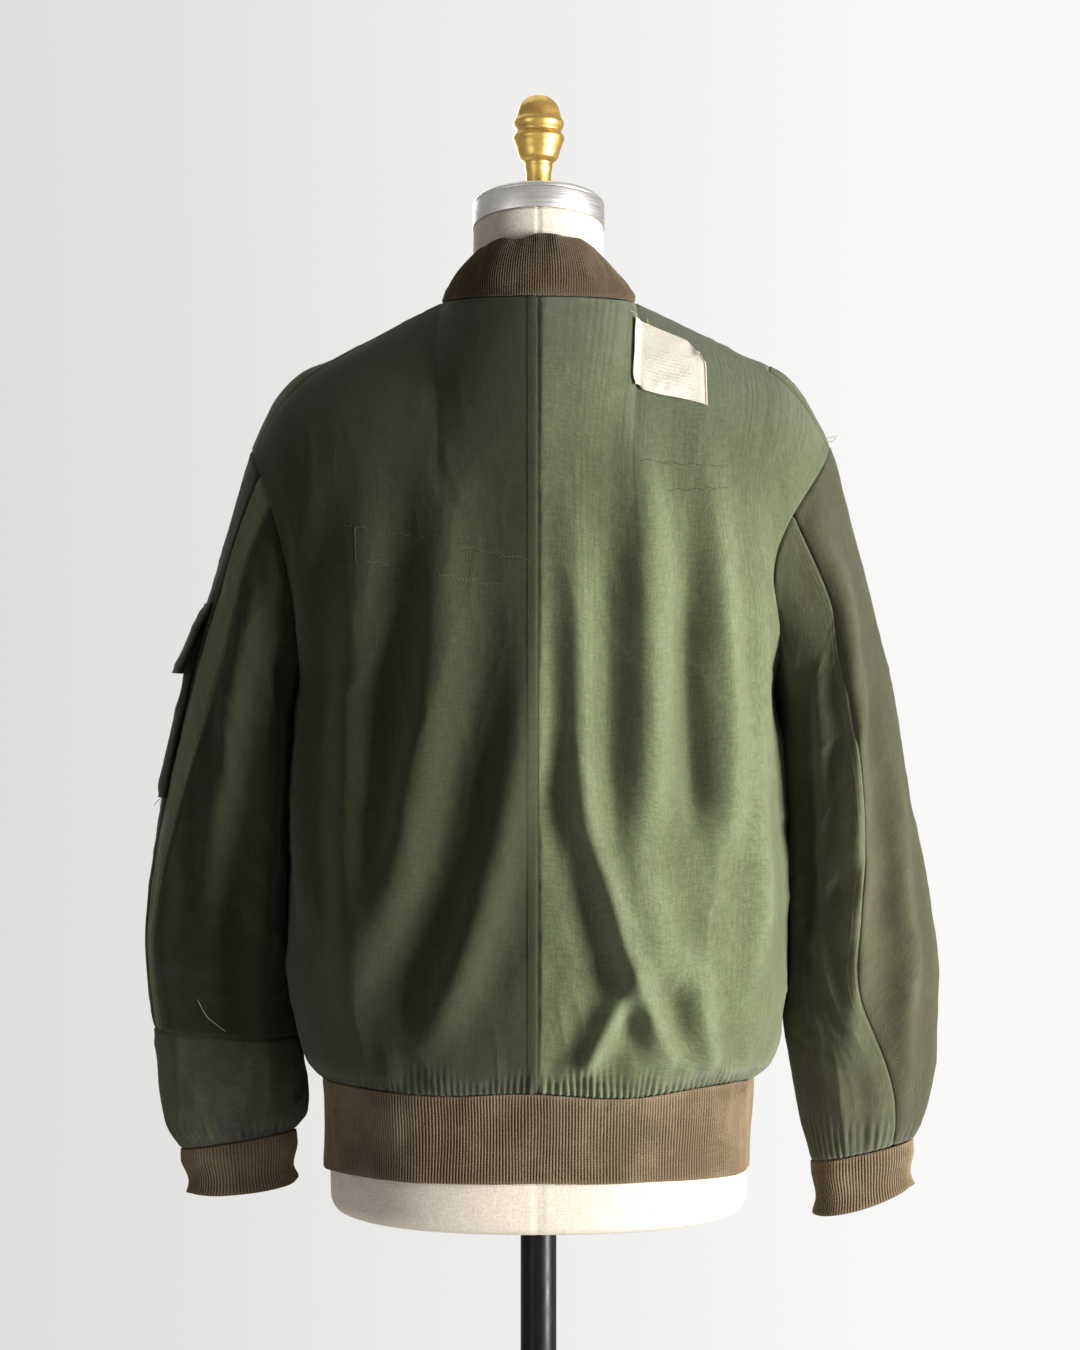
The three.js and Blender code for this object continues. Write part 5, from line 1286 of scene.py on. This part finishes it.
plates = {"sleeve_pocket": {"top": 1236, "bottom": 1096, "front": -52, "back": 34, "lift": 3.6, "rise": 0, "flare": 0,
                            "thickness": 2.6, "seed": 63, "bellows": 1.0},
          "sleeve_pocket_flap": {"top": 1262, "bottom": 1200, "front": -56, "back": 38, "lift": 2.8, "rise": 3.6,
                                 "flare": 9, "thickness": 2.0, "seed": 66, "bellows": 0.0}}


# A piece of doubled cloth that lies on the left sleeve between two heights and two angles
def sleevePlate(name, top, bottom, front, back, lift, rise, flare, thickness, seed, bellows):
    tall, wide = top - bottom, (back - front) * 1.35
    u, at = np.meshgrid(seamedPlaces(wide, 56), seamedPlaces(tall, int(tall / 2.4)))
    angle, z = mixed(front, back, u), mixed(bottom, top, at)
    low, high = 0 * z, 0 * z + 1
    for _ in range(24):  # finds how far down the sleeve each height lies
        middle = (low + high) / 2
        above = sleeveForm(1, angle, middle)[..., 2] > z
        low, high = np.where(above, middle, low), np.where(above, high, middle)
    s = low
    def form(a, b):
        return sleeveForm(1, a * 360, b)
    inside = (form(0 * s, s) + form(0 * s + 0.5, s)) / 2
    out = wayOut(form, angle / 360, s, inside)
    base = form(angle / 360, s) + [jacket["seamGap"] + 0.36, 0, 0]
    over = rise * np.minimum(1, 3 * (1 - at))
    left, right, down, up = edgeReach(base)
    reach = nearest(left, right, down, up)
    crumpled = 0.7 * creases(u * wide, at * tall, 24, 30, seed) + 0.3 * creases(u * wide, at * tall, 8, 11, seed + 1)
    sewn = -0.5 * np.exp(-((reach - 2.4) / 1.2) ** 2) + bellows * fadeIn(reach, 2, 12)
    height = sleeveFold(1, angle, s) + lift + over + flare * (1 - at) ** 1.5 + crumpled * fadeIn(reach, 1, 9) + sewn
    points = base + out * height[..., None]
    values = {"relief": np.clip(crumpled, -1, 1), "edge": np.exp(-reach / 4)}
    piece = wallPiece(name, points, out, clothPaint["leftBackSleeve"], values, thickness)
    finishCloth(piece, name, points)
    panels[name] = (points, out, left, right, down, up)


addLabel()
for name, plate in plates.items():
    sleevePlate(name, **plate)
print("stage: label, pocket and flap are made")

zipLook = {"toothPitch": 2.5, "toothLength": 3.4, "tapeHalf": 4.45}


# Places along the zip's middle, from the waistband's foot to the neck
def zipPlaces(at):
    at = np.asarray(at, float)
    waist = 0.1
    upper = bodyForm(1, -1, 0 * at, np.clip((at - waist) / (1 - waist), 0, 1) * 1.99)
    foot = np.array([0, -131, jacket["hemZ"] - jacket["bandHeight"] + 1])
    hem = bodyForm(1, -1, np.zeros(1), np.zeros(1))[0]
    lower = foot + (hem - foot) * np.clip(at / waist, 0, 1)[..., None]
    line = np.where((at > waist)[..., None], upper, lower)
    line[..., 0] = 0
    return line


def zipOut(at):
    along = zipPlaces(np.minimum(at + 0.01, 1)) - zipPlaces(np.maximum(at - 0.01, 0))
    along /= np.linalg.norm(along, axis=-1, keepdims=True)
    return stacked(0 * at, -along[..., 2], along[..., 1])


def buildTeeth():
    tree, given = geometryTree("zipTeeth", [("Pitch", "Float", 0.0025), ("Size", "Vector", (0.0034, 0.0013, 0.0013)),
                               ("Paint", "Material", None)])
    spacedAlong(tree, given, addNode(tree, "GeometryNodeMeshCube", {"Size": given["Size"]}).outputs[0], "Z")
    return tree


def addZip():
    at = np.linspace(0, 1, 180)
    share = np.array([-1, -0.8, -0.3, 0, 0.3, 0.8, 1])
    across, run = np.meshgrid(share * zipLook["tapeHalf"], at)
    out = zipOut(run)
    points = zipPlaces(run) + out * 0.1
    points[..., 0] = across
    values = {"relief": 0 * across, "edge": 0 * across}
    tape = wallPiece("zipTape", points, out, clothPaint["darkOlive"], values, 1.1)
    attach(tape, body)
    lines = [zipPlaces(at) + zipOut(at) * 1.0 + [side * 1.35, 0, side * zipLook["toothPitch"] / 4] for side in (-1, 1)]
    mesh = grownAlong("teethLine", lines, buildTeeth(), {
        "Pitch": zipLook["toothPitch"] * millimetre, "Paint": zipPaint,
        "Size": (zipLook["toothLength"] * millimetre, 0.0014, 0.0013)})
    teeth = linked("zipTeeth", mesh)
    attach(teeth, body)
    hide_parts("zip_chain")


addZip()
print("stage: the zip is made")


# A round piece from rows of radius and height, whose first and last row may lie on the axis
def lathePiece(name, profile, columns, paint, place=None, shape=None, values=None):
    rings = [(r, z) for r, z in profile if r > 0]
    angle = np.linspace(0, 2 * np.pi, columns, False)
    radius, height = np.array(rings).T
    if shape is None:
        radius = radius[:, None]
        shape = stacked(radius * np.sin(angle), radius * np.cos(angle), height[:, None] + 0 * angle)
        top = profile[-1][1]
    else:
        top = shape[-1, :, 2].mean()
    vertices = shape.reshape(-1, 3)
    faces = []
    for r in range(len(rings) - 1):
        for c in range(columns):
            n = (c + 1) % columns
            faces.append((r * columns + n, r * columns + c, (r + 1) * columns + c, (r + 1) * columns + n))
    count = len(vertices)
    ends = [vertices[:columns].mean(0), vertices[-columns:].mean(0)]
    ends[0][2], ends[1][2] = profile[0][1], top
    vertices = np.concatenate([vertices, ends])
    last = (len(rings) - 1) * columns
    for c in range(columns):
        n = (c + 1) % columns
        faces.append((c, n, count))
        faces.append((last + n, last + c, count + 1))
    if place is not None:
        vertices = place(vertices)
    mesh = bpy.data.meshes.new(name)
    mesh.from_pydata((vertices * millimetre).tolist(), [], faces)
    layer = mesh.uv_layers.new(name="cloth")
    index = np.zeros(len(mesh.loops), int)
    mesh.loops.foreach_get("vertex_index", index)
    spin = np.arctan2(vertices[index, 0], vertices[index, 1])
    reach = np.linalg.norm(vertices[index, :2], axis=-1)
    flat = np.stack([spin * np.maximum(reach, 20), vertices[index, 2]], -1)
    layer.uv.foreach_set("vector", (flat * millimetre).ravel())
    for key, value in (values or {}).items():
        attribute = mesh.attributes.new(key, "FLOAT", "POINT")
        attribute.data.foreach_set("value", np.concatenate([value.ravel(), [0, 0]]).astype(np.float32))
    mesh.polygons.foreach_set("use_smooth", [True] * len(mesh.polygons))
    mesh.materials.append(paint)
    mesh.update()
    thing = linked(name, mesh)
    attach(thing, body)
    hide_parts(name)


# Each inner corner of a profile becomes a small round of three points
def bevelled(rows, size):
    made = [rows[0]]
    for before, here, after in zip(rows, rows[1:], rows[2:]):
        here, before, after = (np.array(p, float) for p in (here, before, after))
        one, two = before - here, after - here
        a = here + one / np.linalg.norm(one) * min(size, np.linalg.norm(one) / 2)
        b = here + two / np.linalg.norm(two) * min(size, np.linalg.norm(two) / 2)
        made += [tuple(a), tuple((a + b) / 4 + here / 2), tuple(b)]
    return made + [rows[-1]]


formSections = table("z side back front square lean",
    [741, 166, 114, 100, 2.3, 0], [745, 175, 122, 107, 2.3, 0], [756, 179.5, 127, 111, 2.3, 0],
    [830, 178, 126, 110, 2.3, 0], [930, 164, 112, 100, 2.2, 0], [1050, 138, 92, 92, 2.2, 0],
    [1200, 148, 98, 108, 2.2, 0], [1320, 166, 106, 114, 2.2, 0], [1400, 174, 98, 92, 2.1, 0],
    [1440, 178, 80, 70, 1.9, 0], [1462, 178, 66, 56, 1.7, 0], [1478, 170.6, 56, 46, 1.5, 0],
    [1494, 139.6, 50, 42, 1.4, 0], [1507, 110.6, 46, 41, 1.35, 0], [1517, 80, 47, 44, 1.5, 0],
    [1526, 64, 50, 50, 1.8, 0.05], [1538, 58.5, 53, 53, 2, 0.08], [1560, 57, 55, 55, 2, 0.13],
    [1589.5, 56.5, 56, 56, 2, 0.158])


def addForm():
    columns = 180
    levels = np.concatenate([[741, 742, 743.5, 745, 747, 750, 753, 757, 762], np.linspace(768, 1430, 62),
                             np.linspace(1438, 1540, 44), np.linspace(1543, 1589.5, 22)])
    angle, z = np.meshgrid(np.linspace(0, 2 * np.pi, columns, False), levels)
    value = {name: smoothValue(formSections, z, name) for name in ("side", "back", "front", "square", "lean")}
    depth = np.where(np.cos(angle) > 0, value["back"], value["front"])
    reach = roundedReach(value["side"], depth, value["square"], angle)
    offSeam = reach * np.abs(np.sin(angle))
    groove = np.exp(-(offSeam / 1.5) ** 2)
    piping = np.exp(-((offSeam - 3.4) / 2.2) ** 2)
    reach = reach - 0.9 * groove + 0.25 * piping
    y = reach * np.cos(angle)
    shape = stacked(reach * np.sin(angle), y, z + value["lean"] * y)
    profile = [(1, level) for level in levels]
    # The seam groove's sunken relief gives the canvas painted shade there, and its edge value gives it wear
    values = {"relief": 0.3 * planeNoise(angle * 6, z / 40, 81) - 0.7 * groove, "edge": groove}
    lathePiece("form_torso", profile, columns, canvasPaint, shape=shape, values=values)


stand = {"capRadius": 57.5, "capZ": 1590, "capTilt": 9, "finialZ": 1617.2, "poleRadius": 15.5, "poleTop": 740.7,
         "baseRadius": 190, "baseHeight": 18}


def addNeckCap():
    turn = stand["capTilt"] * degree
    def place(vertices):
        y, z = vertices[:, 1].copy(), vertices[:, 2].copy()
        vertices[:, 1] = y * math.cos(turn) - z * math.sin(turn)
        vertices[:, 2] = stand["capZ"] + y * math.sin(turn) + z * math.cos(turn)
        return vertices
    r = stand["capRadius"]
    rows = [(0, 0), (r, 0), (r, 18.2), (r - 0.4, 18.8), (r, 19.4), (r, 21.6), (r - 2.5, 24), (20, 24.8), (0, 25)]
    lathePiece("neck_cap", bevelled(rows, 0.5), 128, steelPaint, place=place)


finialProfile = table("height radius",
    [0, 11], [20.5, 10.9], [27.4, 12.1], [30.9, 12.4], [33, 14.8], [34.4, 16.4], [37.8, 17.7], [41.3, 18.7],
    [44.8, 20], [48.3, 21.1], [51.8, 22.5], [54, 22.2], [56, 20.6], [58.7, 19.4], [61, 20.8], [63.5, 21.9],
    [65.7, 22.2], [68.2, 21.2], [70, 19.9], [72.6, 19.2], [76, 18.4], [79.6, 17.3], [83, 15.2], [86.5, 11.6],
    [88.6, 7.8], [89.8, 2.6])


def addFinial():
    foot = stand["finialZ"]
    heights = np.linspace(0, 89.8, 96)
    radii = smoothValue(finialProfile, heights, "radius")
    rows = [(0, 0)] + list(zip(radii, heights)) + [(0, 90)]
    def place(vertices):
        vertices[:, 2] += foot
        return vertices
    lathePiece("finial", rows, 72, goldPaint, place=place)
    angle = np.linspace(0, 2 * np.pi, 20, False)
    def screwRing(radius):
        return [np.array([radius * math.cos(a), 11.9, foot + 14 + radius * math.sin(a)]) for a in angle]
    ring, socket = screwRing(2.5), screwRing(1.1)
    rim, deep = [p - [0, 1.6, 0] for p in ring], [p - [0, 1.2, 0] for p in socket]
    mesh = bpy.data.meshes.new("setScrew")
    vertices = np.array(rim + ring + socket + deep)
    faces = [tuple(k * 20 + j for k, j in ((r, c), (r, (c + 1) % 20), (r + 1, (c + 1) % 20), (r + 1, c)))
             for r in range(3) for c in range(20)] + [tuple(60 + c for c in range(20))]
    mesh.from_pydata((vertices * millimetre).tolist(), [], faces)
    mesh.materials.append(goldPaint)
    screw = linked("setScrew", mesh)
    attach(screw, body)


def addStand():
    r, low, high = stand["poleRadius"], stand["baseHeight"] + 0.3, stand["poleTop"]
    pole = bevelled([(0, low), (r, low), (r, high), (0, high)], 0.6)
    lathePiece("pole", pole, 72, blackPaint)
    r, high = stand["baseRadius"], stand["baseHeight"]
    base = bevelled([(0, 0), (r, 0), (r, 9), (r - 3, 12), (60, high), (0, high)], 1.2)
    lathePiece("base", base, 144, blackPaint)


addForm()
addNeckCap()
addFinial()
addStand()
for node in ("zip_slider", "zip_pull_tab"):
    part = frame["nodes"][node]
    part.data.materials.clear()
    part.data.materials.append(zipPaint)
print("stage: form and stand are made")

thread = {"pitch": 2.7, "length": 1.0, "width": 0.27}


# Rows of stitches: piece, edge, distance from the edge, and where the row starts and ends along it
def addStitches():
    def rows(*given):
        return [beside(*row) for row in given]
    dark, sage = [], []
    dark += rows(("back_left", "left", 1.9, 0.015, 0.99), ("back_left", "left", 8.2, 0.015, 0.99))
    for name, lines in (("back_left", dark), ("back_right", sage)):
        lines += rows((name, "high", 6.4, 0.01, 0.28), (name, "high", 2.2, 0.3, 0.98),
                      (name, "low", 9.6, 0.01, 0.99), (name, "low", 2.0, 0.01, 0.99),
                      (name, "right", 2.6, 0.56, 0.985), (name, "right", 8.6, 0.56, 0.97))
    for name, lines in (("front_left", dark), ("front_right", sage)):
        lines += rows((name, "low", 2.0, 0.03, 0.99), (name, "right", 2.6, 0.56, 0.985),
                      (name, "left", 3.0, 0.01, 0.99), (name, "left", 9.0, 0.01, 0.99), (name, "high", 2.4, 0.03, 0.97))
    dark += rows(("sleeve_left_front", "right", 1.9, 0.01, 0.99), ("sleeve_left_strip", "right", 1.9, 0.01, 0.99),
                 ("sleeve_left_strip", "left", 1.9, 0.01, 0.99), ("sleeve_left_back", "left", 6.6, 0.01, 0.99),
                 ("sleeve_left_forearm", "low", 2.2))
    for name, distance, start, end in (("sleeve_pocket", 2.4, 0.02, 0.98), ("sleeve_pocket_flap", 2.4, 0.04, 0.96),
                                       ("sleeve_pocket_flap", 8.0, 0.12, 0.88)):
        dark += [beside(name, edge, distance, start, end) for edge in ("left", "right", "low")]
    sage += rows(("sleeve_right_back", "left", 1.9, 0.01, 0.985), ("sleeve_right_back", "left", 7.4, 0.01, 0.985),
                 ("sleeve_right_back", "high", 2.2), ("sleeve_right_front", "high", 2.2),
                 ("shoulder_left", "left", 1.8, 0.03, 0.97), ("shoulder_right", "left", 1.8, 0.03, 0.97),
                 ("shoulder_patch_right", "left", 1.8, 0.06, 0.94), ("shoulder_patch_right", "low", 1.8, 0.06, 0.94))
    stitchPiece("stitchesDark", dark, darkThread, "dark_olive_cloth", **thread)
    stitchPiece("stitchesSage", sage, sageThread, "sage_cloth", **thread)
    cream = [beside("label", edge, 2.2, 0.03, 0.97, 0.1) for edge in ("low", "high", "left")]
    stitchPiece("stitchesCream", cream, creamThread, "label_cloth", 2.4, 0.85, 0.24)
    gold = [beside("label", "right", 1.0, 0.02, 0.93, 0.12)]
    stitchPiece("stitchesGold", gold, goldThread, "label_cloth", 1.5, 0.6, 0.3)


# Rows of loose old stitches, each a line of x and z as the camera sees them on the pole's plane
oldRows = {"back_left": [
    [(201, 1336), (152, 1331), (98, 1321), (51, 1311), (7, 1302)], [(205, 1307), (142, 1301), (88, 1290), (33, 1280)],
    [(160, 1330), (159, 1302)], [(60, 1312), (58, 1286)]],
    "back_right": [[(-90, 1389), (-160, 1384)], [(-115, 1363), (-165, 1366)]]}


def addOldRows():
    for name, rows in oldRows.items():
        lines = []
        for row in rows:
            row = np.array(row, float)
            run = np.concatenate([[0], np.linalg.norm(np.diff(row, axis=0), axis=-1).cumsum()])
            at = np.arange(0, run[-1], 2.0)
            pulled = planeNoise(at / 16, 0 * at + len(lines), 87) > -0.12 if len(row) > 2 else at > -1
            x, z = np.interp(at, run, row[:, 0]), np.interp(at, run, row[:, 1])
            z = z + 0.8 * planeNoise(at / 25, 0 * at, 88)
            on = onPanel(name, x, z, 0.2, True)
            for part in np.split(np.arange(len(at)), np.flatnonzero(np.diff(pulled.astype(int))) + 1):
                if len(part) > 2 and pulled[part[0]]:
                    lines.append(on[part])
        slot = "dark_olive_cloth" if name == "back_left" else "sage_cloth"
        stitchPiece("needleHoles" + name[5:].title(), lines, oldRowThread if name == "back_left" else darkThread, slot,
                    2.9, 1.3, 0.42)


# Loose ends of thread as thin tubes along smooth curves
def threadPiece(name, lines, paint, radius=0.22):
    vertices, faces = [], []
    for line in lines:
        line = np.asarray(line, float)
        t = np.linspace(0, 1, 28)
        keys = np.linspace(0, 1, len(line))
        curve = np.stack([smoothValue({"keys": keys, "v": line[:, k]}, t, "v") for k in range(3)], -1)
        way = np.gradient(curve, axis=0)
        way /= np.linalg.norm(way, axis=-1, keepdims=True)
        side = np.cross(way, [0.3, 0.2, 0.93])
        side /= np.linalg.norm(side, axis=-1, keepdims=True)
        up = np.cross(way, side)
        first = len(vertices)
        for k in range(len(curve)):
            for a in np.linspace(0, 2 * np.pi, 5, False):
                vertices.append(curve[k] + radius * (math.cos(a) * side[k] + math.sin(a) * up[k]))
        for k in range(len(curve) - 1):
            for c in range(5):
                n = (c + 1) % 5
                a, b = first + k * 5, first + (k + 1) * 5
                faces.append((a + c, a + n, b + n, b + c))
    piece = meshPiece(name, np.array(vertices), np.array(faces), np.zeros((len(faces), 4, 2)), {}, paint)
    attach(piece, body)


def addLooseThreads():
    arm = onPanel("sleeve_left_back", [296, 288, 280, 272], [920, 905, 897, 893], 0.5, True)
    arm += np.array([[0, 0, 0], [0, 1.5, 1], [0, 2.0, 2], [0, 0.8, 0]])
    threadPiece("looseThreadArm", [arm], creamThread, 0.25)
    patch = panels["shoulder_patch_right"][0]
    tip = patch[-3, patch.shape[1] // 3]
    tuft = [[tip, tip + [-3, 2, 3], tip + [-8, 3, 4], tip + [-11, 4, 9]], [tip, tip + [-3, 1, 6], tip + [-9, 2, 8]]]
    threadPiece("looseThreadShoulder", tuft, sageThread, 0.22)
    corner = panels["sleeve_pocket"][0][1, -2]
    ends = [[corner, corner + [2, 2, -5], corner + [1, 4, -10]], [corner, corner + [4, 1, -3], corner + [7, 2, -7]]]
    threadPiece("looseThreadPocket", ends, darkThread, 0.25)
    label = panels["label"][0]
    top = label[-2, 2]
    threadPiece("looseThreadLabel", [[top, top + [2, 1, 4], top + [6, 2, 6]], [label[-1, 9], label[-1, 9] + [1, 2, 4]]],
                creamThread, 0.2)


addStitches()
addOldRows()
addLooseThreads()
print("stage: stitches and threads are made")

triangles = sum(len(p.vertices) - 2 for thing in bpy.data.objects if thing.type == "MESH"
                for p in thing.data.polygons)
print("triangles in all:", triangles)
